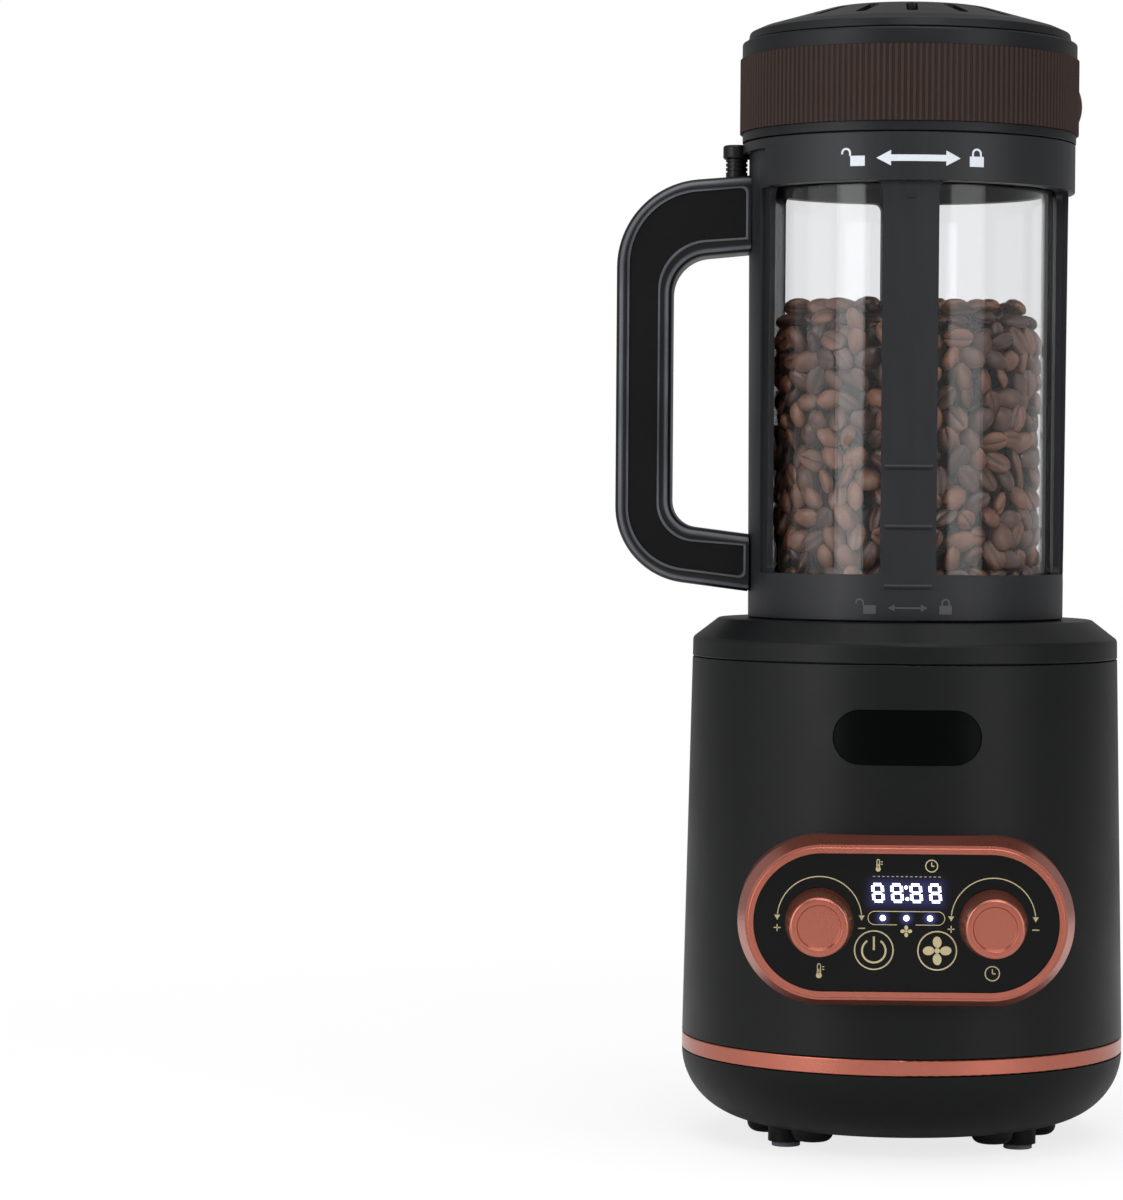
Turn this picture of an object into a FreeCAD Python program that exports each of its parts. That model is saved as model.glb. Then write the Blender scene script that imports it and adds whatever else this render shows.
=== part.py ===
"""Home coffee bean roaster: a hot-air base, a lift-off glass jug with a handle, and a twist-lock chaff lid.

Millimetres. +Z is up, the control panel faces -Y and the handle points to -X. The origin is on the
surface that the feet stand on, under the axis of the round body.
"""

import FreeCAD
import Part

import math
import os

from FreeCAD import Vector

# Heights of the outer shells, from the surface the feet stand on
PAN_BOTTOM_Z = 6.5
BAND_BOTTOM_Z = 30.0
BAND_TOP_Z = 35.5
HOUSING_TOP_Z = 163.4
COVER_TOP_Z = 176.4
WINDOW_BOTTOM_Z = 192.0
WINDOW_TOP_Z = 321.2
COLLAR_BOTTOM_Z = 321.0
COLLAR_TOP_Z = 337.2
GRIP_BOTTOM_Z = 340.7
GRIP_TOP_Z = 365.7
LOCK_TOP_Z = 371.3
CAP_TOP_Z = 382.8

# Radii of the outer shells
BAND_R = 75.0
HOUSING_TOP_R = 72.3
COVER_FLAT_R = 63.5
CAGE_BOTTOM_R = 53.6
CAGE_TOP_R = 54.3
COLLAR_R = 56.5
LOCK_R = 56.9
GRIP_R = 57.6

# Walls, seams and clearances
WALL = 2.5
SEAM = 0.3
RUN = 0.05

# Base pan
PAN_FLAT_R = 50.0
SCREW_BOSS_ANGLES = (38.5, 70.0, 110.0, 141.5)
SCREW_BOSS_PITCH_R = 48.0
SCREW_BOSS_R = 7.0
SCREW_BOSS_Z = 3.0
FOOT_ANGLES = (54.0, 126.0)
FOOT_PITCH_R = 48.0
FOOT_BOSS_R = 6.0
PAD_R = 4.8
PAD_H = 1.7
INTAKE_SLOTS = 14
INTAKE_SLOT_W = 3.2
INTAKE_INNER_R = 13.0
INTAKE_OUTER_R = 33.0

# Oval badge recess on the front of the housing, left plain
BADGE_W = 48.5
BADGE_H = 18.1
BADGE_Z = 139.6
BADGE_DEPTH = 1.2

# Control panel pod, a flat-fronted stadium standing out of the round housing
PANEL_Z = 80.5
POD_FRONT_Y = -82.0
POD_HALF_RUN = 27.0
POD_R = 27.6
POD_NECK_R = 25.0
POD_LIP_R = 24.3
POD_ROOM_R = 23.5
POD_OPENING_R = 22.3
POD_SLOPE_Y = -74.0
POD_NECK_Y = -81.3
GLASS_FRONT_Y = -80.8
GLASS_T = 2.0
DISPLAY_Z = PANEL_Z + 9.5
LAMPS_Z = PANEL_Z + 1.5
LAMPS_X = (-7.6, 0, 7.6)
KEYS_Z = PANEL_Z - 8.9
KEYS_X = (-10.4, 10.0)
KNOB_X = 28.0
KNOB_BASE_R = 11.2
KNOB_FACE_R = 9.5
KNOB_L = 16.8
KNOB_GAP = 0.6
SHAFT_R = 3.0
BUSH_R = 3.8

# Jug socket in the top of the base, and the jug's own foot
SOCKET_R = 49.6
SOCKET_FLOOR_Z = 160.5
SEAT_TOP_Z = 163.0
FOOT_RING_R = 46.8
FOOT_RING_IN_R = 43.8
JUG_LUGS = 6
JUG_LUG_HALF = 11.0
SOCKET_LUG_HALF = 12.0
JUG_LUG_Z = 164.5
JUG_LUG_H = 3.0

# Jug
CAGE_IN_R = 50.6
GLASS_OUT_R = 49.5
GLASS_IN_R = 46.5
GLASS_BOTTOM_Z = 184.2
GLASS_TOP_Z = 333.0
FLOOR_Z = 181.0
NECK_R = 52.9
NECK_TOP_Z = 348.0
FRONT_PILLAR_HALF = 9.85
HANDLE_PILLAR_HALF = 27.5
FAR_PILLAR_HALF = 10.0
PILLAR_STEP_R = 52.7
FRONT_LINES = ((188.2, 7.9), (207.8, 7.9), (227.5, 7.9), (316.0, 1.5))
FRONT_LINE_H = 0.8
WINDOW_CORNER_R = 3.0

# Lid locking lugs: the lock ring turns a half pitch to slide its lugs under the cage's
LID_LUGS = 4
LID_TWIST = 45.0
CAGE_LUG_HALF = 20.0
LOCK_LUG_HALF = 21.0
CAGE_LUG_ANGLE = 157.5
CAGE_LUG_Z = 344.0
CAGE_LUG_R = 54.2
LOCK_IN_R = 54.6
LOCK_LUG_Z = 339.8
LOCK_LUG_R = 53.2
LUG_H = 3.0

# Handle, in the X-Z plane: corner points of its outer and inner outlines with their radii
HANDLE_T = 23.0
HANDLE_OUTER = ((-45.0, 327.0), (-98.8, 322.6), (-98.8, 191.0), (-45.0, 184.2))
HANDLE_OUTER_RADII = (0.0, 30.0, 26.0, 0.0)
HANDLE_INNER = ((-45.0, 301.6), (-80.0, 297.6), (-80.0, 208.0), (-45.0, 203.0))
HANDLE_INNER_RADII = (0.0, 13.0, 9.0, 0.0)
HANDLE_EDGE_R = 3.4
INLAY_OUTER = ((-55.0, 322.0), (-94.4, 318.6), (-94.4, 195.2), (-55.0, 190.4))
INLAY_OUTER_RADII = (2.0, 25.0, 21.0, 2.0)
INLAY_INNER = ((-55.0, 306.2), (-84.6, 303.0), (-84.6, 203.0), (-55.0, 199.8))
INLAY_INNER_RADII = (2.0, 17.0, 13.0, 2.0)
INLAY_DEPTH = 2.2
INLAY_T = 1.0
INLAY_STEP = 0.7
INLAY_STEP_DEPTH = 0.6

# Lid button on top of the handle
BUTTON_X = -58.6
BUTTON_HEAD_R = 4.65
BUTTON_STEM_R = 3.7
BUTTON_TOP_Z = 337.0
BUTTON_HEAD_H = 4.8
BUTTON_STEM_BOTTOM_Z = 314.0
BUTTON_TRAVEL = 4.0
BUTTON_WELL_Z = 305.0
TOOTH_TOP_Z = 341.5

# Grip ring ribs
RIBS = 180
RIB_DEPTH = 0.45

# Chaff lid
CUP_OUT_R = 45.8
CUP_IN_R = 44.3
CUP_BOTTOM_Z = 337.0
CUP_FLANGE_Z = 348.2
CUP_FLANGE_TOP_Z = 350.0
CUP_FLANGE_R = 54.2
CHIMNEY_R = 15.0
CHIMNEY_TOP_Z = 361.0
SCREEN_Z = 369.0
VENT_SLOTS = 16
VENT_W = 3.8
VENT_INNER_R = 31.0
VENT_OUTER_R = 45.6

# Blower and heater inside the base
DECK_Z = 46.0
DECK_T = 3.0
MOTOR_R = 19.0
MOTOR_BOTTOM_Z = 14.0
MOTOR_SHAFT_R = 1.6
IMPELLER_R = 35.0
IMPELLER_Z = 54.0
IMPELLER_H = 14.0
BLADES = 12
DUCT_R = 42.0
DUCT_IN_R = 40.0
DUCT_TOP_Z = 76.0
HEATER_TUBE_R = 39.5
HEATER_TUBE_T = 1.0
HEATER_TOP_Z = 158.0
COIL_R = 30.0
COIL_WIRE_R = 0.8
COIL_PITCH = 9.0
COIL_TURNS = 6

# Mains cord gland in the back of the housing
GLAND_Z = 60.0
GLAND_BORE_R = 3.6
GLAND_BODY_R = 6.0
GLAND_OUT_Y = 84.0
GLAND_IN_Y = 64.0

UP = Vector(0, 0, 1)
ORIGIN = Vector(0, 0, 0)


# Building blocks
def side_plane(u, v):
    """A point of the X-Z plane."""
    return Vector(u, 0, v)


def rounded_wire(points, radii, plane=side_plane):
    """A closed outline of straight runs, with a tangent arc at each corner that has a radius."""
    edges = []
    ends = []
    count = len(points)
    for i, point in enumerate(points):
        corner = plane(*point)
        radius = radii[i]
        if not radius:
            ends.append((corner, corner, None))
            continue
        back = plane(*points[i - 1]) - corner
        ahead = plane(*points[(i + 1) % count]) - corner
        back.normalize()
        ahead.normalize()
        half = back.getAngle(ahead) / 2
        reach = radius / math.tan(half)
        middle = back + ahead
        middle.normalize()
        crown = corner + middle * (radius / math.sin(half) - radius)
        ends.append((corner + back * reach, corner + ahead * reach, crown))
    for i, (start, end, crown) in enumerate(ends):
        if crown is not None:
            edges.append(Part.Arc(start, crown, end).toShape())
        following = ends[(i + 1) % count][0]
        if end.distanceToPoint(following) > 1e-6:
            edges.append(Part.LineSegment(end, following).toShape())
    return Part.Wire(edges)


def lathe(points, radii=None):
    """A solid of revolution about Z from an outline of (radius, height) points."""
    outline = rounded_wire(points, radii or [0] * len(points))
    return Part.Face(outline).revolve(ORIGIN, UP, 360)


def tube(r_in, r_out, z_low, z_high):
    return lathe([(r_in, z_low), (r_out, z_low), (r_out, z_high), (r_in, z_high)])


def post(x, y, radius, z_low, z_high):
    return Part.makeCylinder(radius, z_high - z_low, Vector(x, y, z_low))


def rod_y(x, z, radius, y_from, y_to):
    return Part.makeCylinder(radius, y_to - y_from, Vector(x, y_from, z), Vector(0, 1, 0))


def block(x, y, z):
    """A box from three (low, high) pairs."""
    size = (x[1] - x[0], y[1] - y[0], z[1] - z[0])
    return Part.makeBox(*size, Vector(x[0], y[0], z[0]))


def slab(points, radii, y_from, y_to):
    """A rounded outline of the X-Z plane given thickness along Y."""
    face = Part.Face(rounded_wire(points, radii))
    face.translate(Vector(0, y_from, 0))
    return face.extrude(Vector(0, y_to - y_from, 0))


def stadium_corners(half_run, radius, z):
    reach = half_run + radius
    corners = [(-reach, z - radius), (reach, z - radius), (reach, z + radius), (-reach, z + radius)]
    return corners, [radius * 0.9999] * 4


def stadium(half_run, radius, z, y_from, y_to):
    """A bar with half-round ends, lying along X and facing Y."""
    return slab(*stadium_corners(half_run, radius, z), y_from, y_to)


def stadium_wire(half_run, radius, z, y):
    """The outline of such a bar at one depth."""
    wire = rounded_wire(*stadium_corners(half_run, radius, z))
    wire.translate(Vector(0, y, 0))
    return wire


def sector(r_in, r_out, z_low, z_high, middle, half):
    """A piece of a ring, from middle - half to middle + half degrees about Z."""
    corners = [(r_in, z_low), (r_out, z_low), (r_out, z_high), (r_in, z_high)]
    piece = Part.Face(rounded_wire(corners, [0] * 4)).revolve(ORIGIN, UP, 2 * half)
    piece.rotate(ORIGIN, UP, middle - half)
    return piece


def on_circle(radius, degrees_from_front):
    """A point on a circle about Z, by its angle from the front, -Y, towards +X."""
    angle = math.radians(degrees_from_front)
    return radius * math.sin(angle), -radius * math.cos(angle)


def round_edges(shape, radius, wanted):
    """Fillets the edges that the test picks."""
    picked = [edge for edge in shape.Edges if wanted(edge)]
    return shape.makeFillet(radius, picked)


def housing_r(z):
    """The housing's outer radius at a height: it tapers towards the top."""
    share = (z - BAND_TOP_Z) / (HOUSING_TOP_Z - BAND_TOP_Z)
    return BAND_R + share * (HOUSING_TOP_R - BAND_R)


def housing_cone(inset, z_low=BAND_TOP_Z, z_high=HOUSING_TOP_Z):
    """A solid cone that lies a distance inside the housing's outer face."""
    low = housing_r(z_low) - inset
    high = housing_r(z_high) - inset
    return lathe([(0, z_low), (low, z_low), (high, z_high), (0, z_high)])


def wound_coil(mean_r, wire_r, pitch, turns, z_low):
    """A hidden coil about Z, simplified to level turns that short risers join on alternate sides."""
    coil = Part.makeTorus(mean_r, wire_r, Vector(0, 0, z_low), UP)
    for i in range(1, turns):
        z = z_low + pitch * i
        x = mean_r if i % 2 else -mean_r
        riser = post(x, 0, wire_r * 0.7, z - pitch, z)
        coil = coil.fuse([Part.makeTorus(mean_r, wire_r, Vector(0, 0, z), UP), riser])
    return coil


def screw_up(x, y, z_head, length, head_r=3.0, shank_r=1.4):
    """A pan-head screw that points up, with a cross slot in its head."""
    head = post(x, y, head_r, z_head, z_head + 2.0)
    head = round_edges(head, 0.8, lambda e: abs(e.BoundBox.ZMax - z_head) < 0.01)
    slot = block((x - 1.8, x + 1.8), (y - 0.4, y + 0.4), (z_head, z_head + 1.0))
    cross = block((x - 0.4, x + 0.4), (y - 1.8, y + 1.8), (z_head, z_head + 1.0))
    shank = post(x, y, shank_r, z_head + 1.9, z_head + length)
    return head.fuse(shank).cut(slot.fuse(cross))


def all_quarters(angles):
    """The same angles left and right of the front."""
    return [sign * angle for sign in (-1, 1) for angle in angles]


# Base shells
def pan_profile(inset):
    """Half of the pan's bowl, a quarter ellipse between its flat bottom and its top edge."""
    across = BAND_R - PAN_FLAT_R - inset
    down = BAND_BOTTOM_Z - PAN_BOTTOM_Z - inset
    low = BAND_BOTTOM_Z - down
    top = BAND_BOTTOM_Z - SEAM
    centre = Vector(PAN_FLAT_R, 0, BAND_BOTTOM_Z)
    wide = centre + Vector(across, 0, 0)
    deep = centre - Vector(0, 0, down)
    ellipse = Part.Ellipse(wide, deep, centre)
    curve = Part.ArcOfEllipse(ellipse, math.asin(SEAM / down), math.pi / 2).toShape()
    first, last = curve.Vertexes[0].Point, curve.Vertexes[-1].Point
    rim, foot = (first, last) if first.z > last.z else (last, first)
    lines = [
        Part.LineSegment(foot, Vector(0, 0, low)).toShape(),
        Part.LineSegment(Vector(0, 0, low), Vector(0, 0, top)).toShape(),
        Part.LineSegment(Vector(0, 0, top), rim).toShape(),
    ]
    wire = Part.Wire(Part.__sortEdges__([curve] + lines))
    return Part.Face(wire).revolve(ORIGIN, UP, 360)


def base_pan():
    bowl = pan_profile(0)
    bosses = []
    for degrees in all_quarters(SCREW_BOSS_ANGLES):
        x, y = on_circle(SCREW_BOSS_PITCH_R, degrees)
        dome = post(x, y, SCREW_BOSS_R, SCREW_BOSS_Z, 14.0)
        dome = round_edges(dome, 3.2, lambda e: abs(e.BoundBox.ZMax - SCREW_BOSS_Z) < 0.01)
        bosses.append(dome)
    for degrees in all_quarters(FOOT_ANGLES):
        x, y = on_circle(FOOT_PITCH_R, degrees)
        bosses.append(post(x, y, FOOT_BOSS_R, PAD_H, 14.0))
    hollow = pan_profile(WALL)
    inner = []
    for degrees in all_quarters(SCREW_BOSS_ANGLES):
        x, y = on_circle(SCREW_BOSS_PITCH_R, degrees)
        inner.append(post(x, y, 4.2, PAN_BOTTOM_Z + 1, 24.0))
    pan = bowl.fuse(bosses).cut(hollow).fuse(inner)
    spigot = tube(69.6, 72.0, BAND_BOTTOM_Z - 8, BAND_TOP_Z + 5)
    step = tube(69.6, BAND_R - 1.2, BAND_BOTTOM_Z - 5, BAND_BOTTOM_Z - SEAM).common(bowl)
    pan = pan.fuse([spigot, step])
    holes = []
    for degrees in all_quarters(SCREW_BOSS_ANGLES):
        x, y = on_circle(SCREW_BOSS_PITCH_R, degrees)
        holes.append(post(x, y, 3.3, SCREW_BOSS_Z - 1, 6.5))
        holes.append(post(x, y, 1.45, 6, 22.5))
    for degrees in all_quarters(FOOT_ANGLES):
        x, y = on_circle(FOOT_PITCH_R, degrees)
        holes.append(post(x, y, 2.0, 0, 6.0))
    for i in range(INTAKE_SLOTS):
        slot = stadium_up(INTAKE_INNER_R, INTAKE_OUTER_R, INTAKE_SLOT_W, PAN_BOTTOM_Z - 1, 12)
        slot.rotate(ORIGIN, UP, 360.0 * i / INTAKE_SLOTS)
        holes.append(slot)
    return pan.cut(holes)


def stadium_up(r_in, r_out, width, z_low, z_high):
    """A radial slot cutter with round ends, along +X."""
    half = width / 2
    bar = block((r_in + half, r_out - half), (-half, half), (z_low, z_high))
    ends = [post(r_in + half, 0, half, z_low, z_high), post(r_out - half, 0, half, z_low, z_high)]
    return bar.fuse(ends).removeSplitter()


def foot_pads():
    pads = []
    for degrees in all_quarters(FOOT_ANGLES):
        x, y = on_circle(FOOT_PITCH_R, degrees)
        disc = post(x, y, PAD_R, 0, PAD_H)
        disc = round_edges(disc, 0.3, lambda e: e.BoundBox.ZMax < 0.01)
        pads.append(disc.fuse(post(x, y, 1.95, PAD_H - 0.5, 5.5)))
    return pads


def base_screws():
    screws = []
    for degrees in all_quarters(SCREW_BOSS_ANGLES):
        x, y = on_circle(SCREW_BOSS_PITCH_R, degrees)
        screws.append(screw_up(x, y, 4.5, 17.5))
    return screws


def intake_mesh():
    """A fine screen over the intake slots, inside the pan."""
    disc = post(0, 0, 35.5, PAN_BOTTOM_Z + WALL, PAN_BOTTOM_Z + WALL + 0.6)
    return perforate(disc, 33.0, 5.6, 1.9, PAN_BOTTOM_Z)


def perforate(disc, reach, pitch, hole_r, z_low):
    """Drills a hexagonal grid of holes through a thin disc."""
    holes = []
    rows = int(reach / (pitch * math.sqrt(3) / 2))
    for row in range(-rows, rows + 1):
        y = row * pitch * math.sqrt(3) / 2
        shift = pitch / 2 if row % 2 else 0.0
        for column in range(-rows - 1, rows + 2):
            x = column * pitch + shift
            if math.hypot(x, y) < reach - hole_r:
                holes.append(post(x, y, hole_r, z_low, z_low + 60))
    return disc.cut(holes)


def copper_band():
    low = BAND_BOTTOM_Z
    high = BAND_TOP_Z - SEAM
    corners = [(72.05, low), (BAND_R, low), (BAND_R, high), (72.05, high)]
    return lathe(corners, [0, 0.35, 0.35, 0])


def main_housing():
    low = BAND_TOP_Z
    high = HOUSING_TOP_Z - SEAM
    corners = [
        (BAND_R - WALL, low),
        (BAND_R, low),
        (housing_r(high), high),
        (housing_r(high) - WALL, high),
    ]
    shell = lathe(corners, [0, 0.3, 0.4, 0])
    pod_hole = stadium(POD_HALF_RUN - 1, POD_ROOM_R - 0.6, PANEL_Z, -90, -30)
    badge = badge_bar(0).common(housing_cone(-1).cut(housing_cone(BADGE_DEPTH)))
    cuts = [pod_hole, badge, rod_y(0, GLAND_Z, GLAND_BODY_R + 0.1, 60, 90)]
    for row in range(3):
        for column in range(-5, 6):
            slot = stadium_y(column * 6.5, 96 + row * 17, 2.4, 12.5)
            cuts.append(slot)
    return shell.cut(cuts)


def stadium_y(x, z, width, height):
    """An upright vent slot cutter through the back wall."""
    half = width / 2
    bar = block((x - half, x + half), (55, 85), (z - height / 2 + half, z + height / 2 - half))
    ends = [rod_y(x, z + side * (height / 2 - half), half, 55, 85) for side in (-1, 1)]
    return bar.fuse(ends).removeSplitter()


def badge_bar(inset):
    half_run = (BADGE_W - BADGE_H) / 2
    return stadium(half_run, BADGE_H / 2 - inset, BADGE_Z, -90, -30)


def badge_plate():
    skin = housing_cone(0.5).cut(housing_cone(BADGE_DEPTH))
    return badge_bar(0.25).common(skin)


def top_cover():
    outline = [
        (HOUSING_TOP_R, HOUSING_TOP_Z),
        (HOUSING_TOP_R - 0.1, HOUSING_TOP_Z + 6.3),
        (COVER_FLAT_R, COVER_TOP_Z),
        (SOCKET_R, COVER_TOP_Z),
        (SOCKET_R, COVER_TOP_Z - WALL),
        (61.6, COVER_TOP_Z - WALL),
        (67.4, HOUSING_TOP_Z + 5.4),
        (67.4, HOUSING_TOP_Z - 4.0),
        (69.5, HOUSING_TOP_Z - 4.0),
        (69.5, HOUSING_TOP_Z),
    ]
    return lathe(outline, [0.4, 1.8, 1.6, 0.8, 0, 0, 0, 0, 0, 0])


def socket_ring():
    """The fixed ring under the cover, with the ledges that hold the jug's lugs down."""
    wall = [
        (SOCKET_R, SOCKET_FLOOR_Z - 2.5),
        (56.0, SOCKET_FLOOR_Z - 2.5),
        (56.0, COVER_TOP_Z - WALL),
        (SOCKET_R, COVER_TOP_Z - WALL),
    ]
    ring = lathe(wall)
    floor = tube(41.0, 51.0, SOCKET_FLOOR_Z - 2.5, SOCKET_FLOOR_Z - 0.2)
    ledges = []
    top = COVER_TOP_Z - WALL
    for i in range(JUG_LUGS):
        ledge = sector(FOOT_RING_R + 0.4, 51.0, JUG_LUG_Z + JUG_LUG_H + 0.5, top, 60.0 * i, SOCKET_LUG_HALF)
        ledges.append(ledge)
    return ring.fuse([floor] + ledges)


def seat_ring():
    """The ring that the jug stands on and turns with."""
    flat = tube(36.0, 48.8, SOCKET_FLOOR_Z, SEAT_TOP_Z)
    dogs = [sector(44.2, 46.4, SEAT_TOP_Z - 0.5, SEAT_TOP_Z + 2.5, 120.0 * i, 5.0) for i in range(3)]
    return flat.fuse(dogs)


def seat_gasket():
    corners = [(37.0, SEAT_TOP_Z), (43.2, SEAT_TOP_Z), (42.0, SEAT_TOP_Z + 1.2), (38.2, SEAT_TOP_Z + 1.2)]
    return lathe(corners, [0, 0, 0.4, 0.4])


# Control panel
def panel_bezel():
    """The pod's frame: straight sides, a sloped flank and a raised lip round the opening."""
    sides = stadium(POD_HALF_RUN, POD_R, PANEL_Z, POD_SLOPE_Y, -30)
    wide = stadium_wire(POD_HALF_RUN, POD_R, PANEL_Z, POD_SLOPE_Y)
    narrow = stadium_wire(POD_HALF_RUN, POD_NECK_R, PANEL_Z, POD_NECK_Y)
    flank = Part.makeLoft([wide, narrow], True, True)
    lip = stadium(POD_HALF_RUN, POD_LIP_R, PANEL_Z, POD_FRONT_Y, POD_NECK_Y + 2)
    lip = round_edges(lip, 0.5, lambda e: abs(e.BoundBox.YMax - POD_FRONT_Y) < 0.01)
    pod = sides.fuse([flank, lip]).removeSplitter()
    room = stadium(POD_HALF_RUN, POD_ROOM_R, PANEL_Z, GLASS_FRONT_Y, -30)
    opening = stadium(POD_HALF_RUN, POD_OPENING_R, PANEL_Z, POD_FRONT_Y - 1, -30)
    return pod.cut([room, opening, housing_cone(-0.02)])


def panel_glass():
    glass = stadium(POD_HALF_RUN, POD_ROOM_R - 0.1, PANEL_Z, GLASS_FRONT_Y, GLASS_FRONT_Y + GLASS_T)
    holes = [rod_y(side * KNOB_X, PANEL_Z, BUSH_R + 0.1, -90, -70) for side in (-1, 1)]
    return glass.cut(holes)


def panel_tray():
    """The moulded tray behind the glass that carries the board."""
    back = GLASS_FRONT_Y + GLASS_T
    plate = stadium(POD_HALF_RUN, POD_ROOM_R - 0.2, PANEL_Z, back, back + 2)
    skirt = stadium(POD_HALF_RUN - 2, POD_ROOM_R - 1.7, PANEL_Z, back, -64)
    hollow = stadium(POD_HALF_RUN - 2, POD_ROOM_R - 3.2, PANEL_Z, back + 2, -60)
    tray = plate.fuse(skirt.cut(hollow))
    window = block((-13, 13), (-85, -75), (DISPLAY_Z - 4.5, DISPLAY_Z + 4.5))
    lamps = [rod_y(x, LAMPS_Z, 1.7, -85, -75) for x in LAMPS_X]
    shafts = [rod_y(side * KNOB_X, PANEL_Z, BUSH_R + 0.1, -85, -70) for side in (-1, 1)]
    keys = [rod_y(x, KEYS_Z, 4.2, -85, -75) for x in KEYS_X]
    return tray.cut([window] + lamps + shafts + keys)


def control_board():
    return stadium(23.5, 19.4, PANEL_Z, -70.0, -68.4)


def display_module():
    return block((-12.7, 12.7), (-78.5, -70.0), (DISPLAY_Z - 4.3, DISPLAY_Z + 4.3))


def indicator_lamps():
    return [rod_y(x, LAMPS_Z, 1.5, -78.6, -70.0) for x in LAMPS_X]


def touch_springs():
    """The two conical contacts that press on the back of the glass under the touch keys."""
    springs = []
    for x in KEYS_X:
        cone = Part.makeCone(3.6, 2.6, 8.6, Vector(x, -78.7, KEYS_Z), Vector(0, 1, 0))
        bore = rod_y(x, KEYS_Z, 1.8, -80, -69)
        springs.append(cone.cut(bore))
    return springs


def encoder(side):
    """A rotary encoder: a square can on the board with a bush through the glass."""
    x = side * KNOB_X
    can = block((x - 6, x + 6), (-76.6, -70.0), (PANEL_Z - 6.5, PANEL_Z + 6.5))
    bush = rod_y(x, PANEL_Z, BUSH_R, -81.0, -76.6)
    return can.fuse(bush).cut(rod_y(x, PANEL_Z, SHAFT_R + RUN, -90, -71.5))


def knob(side):
    """A tapered push-on knob with a dished face."""
    base_y = GLASS_FRONT_Y - KNOB_GAP
    outline = [
        (SHAFT_R + 0.02, 0.0),
        (KNOB_BASE_R, 0.0),
        (KNOB_BASE_R - 0.2, 1.6),
        (KNOB_FACE_R, KNOB_L - 0.2),
        (KNOB_FACE_R - 1.0, KNOB_L),
        (7.3, KNOB_L),
        (6.7, KNOB_L - 0.7),
        (0.0, KNOB_L - 0.7),
        (0.0, KNOB_L - 5.0),
        (SHAFT_R + 0.02, KNOB_L - 5.0),
    ]
    body = lathe(outline, [0, 0.4, 0.5, 1.0, 0.6, 0.25, 0.2, 0, 0, 0])
    body.rotate(ORIGIN, Vector(1, 0, 0), 90)
    body.translate(Vector(side * KNOB_X, base_y, PANEL_Z))
    return body


def knob_shaft(side):
    tip = GLASS_FRONT_Y - KNOB_GAP - KNOB_L + 5.2
    return rod_y(side * KNOB_X, PANEL_Z, SHAFT_R, tip, -72.0)


# Blower and heater
def fan_deck():
    plate = post(0, 0, 70.5, DECK_Z, DECK_Z + DECK_T)
    rim = tube(69.0, 70.5, DECK_Z - 4, DECK_Z + DECK_T)
    inlet = [sector(21.5, 33.0, DECK_Z - 1, DECK_Z + 4, 45.0 * i, 18.0) for i in range(8)]
    holes = [post(0, 0, 5.2, DECK_Z - 1, DECK_Z + 4)]
    holes += [post(x, 0, 1.6, DECK_Z - 1, DECK_Z + 4) for x in (-12.5, 12.5)]
    return plate.fuse(rim).cut(inlet + holes)


def deck_posts():
    """Four standoffs that carry the deck on the pan's floor."""
    posts = []
    pan_wall = pan_profile(0).cut(pan_profile(WALL))
    for degrees in (0, 90, 180, 270):
        x, y = on_circle(56.0, degrees)
        posts.append(post(x, y, 4.0, 11.0, DECK_Z).cut(pan_wall))
    return posts


def fan_motor():
    can = lathe(
        [(0, MOTOR_BOTTOM_Z), (MOTOR_R, MOTOR_BOTTOM_Z), (MOTOR_R, DECK_Z), (0, DECK_Z)],
        [0, 2.0, 1.0, 0],
    )
    boss = post(0, 0, 5.0, DECK_Z - 1, DECK_Z + DECK_T)
    tail = post(0, 0, 4.0, MOTOR_BOTTOM_Z - 2, MOTOR_BOTTOM_Z + 1)
    bore = post(0, 0, MOTOR_SHAFT_R + RUN, MOTOR_BOTTOM_Z + 4, DECK_Z + 5)
    holes = [post(x, 0, 1.5, DECK_Z - 6, DECK_Z + 1) for x in (-12.5, 12.5)]
    return can.fuse([boss, tail]).cut([bore] + holes)


def motor_screws():
    screws = []
    for x in (-12.5, 12.5):
        screw = screw_up(x, 0, 0, 8, 2.6, 1.4)
        screw.rotate(Vector(x, 0, 0), Vector(1, 0, 0), 180)
        screw.translate(Vector(0, 0, DECK_Z + DECK_T + 2.0))
        screws.append(screw)
    return screws


def motor_shaft():
    return post(0, 0, MOTOR_SHAFT_R, MOTOR_BOTTOM_Z + 6, IMPELLER_Z + IMPELLER_H + 4)


def impeller():
    """A backplate with curved blades and a hub on the motor's shaft."""
    top = IMPELLER_Z + IMPELLER_H
    plate = post(0, 0, IMPELLER_R, top - 1.5, top)
    hub = post(0, 0, 6.0, IMPELLER_Z, top + 2)
    blades = []
    for i in range(BLADES):
        bend = tube(21.0, 22.2, IMPELLER_Z, top - 1.2)
        bend.translate(Vector(22.5, 13.0, 0))
        keep = block((8, 34), (-9, 30), (IMPELLER_Z - 1, top))
        blade = bend.common(keep).common(tube(10, IMPELLER_R - 0.5, IMPELLER_Z, top))
        blade.rotate(ORIGIN, UP, 360.0 * i / BLADES)
        blades.append(blade)
    wheel = plate.fuse([hub] + blades)
    return wheel.cut(post(0, 0, MOTOR_SHAFT_R + 0.005, IMPELLER_Z - 1, top + 3))


def blower_duct():
    wall = tube(DUCT_IN_R, DUCT_R, DECK_Z + DECK_T, DUCT_TOP_Z)
    flange = tube(DUCT_IN_R, DUCT_R + 7, DECK_Z + DECK_T, DECK_Z + DECK_T + 2.5)
    ears = [post(*on_circle(DUCT_R + 3.5, 45 + 90 * i), 1.6, DECK_Z, DECK_Z + 8) for i in range(4)]
    return wall.fuse(flange).cut(ears)


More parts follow.
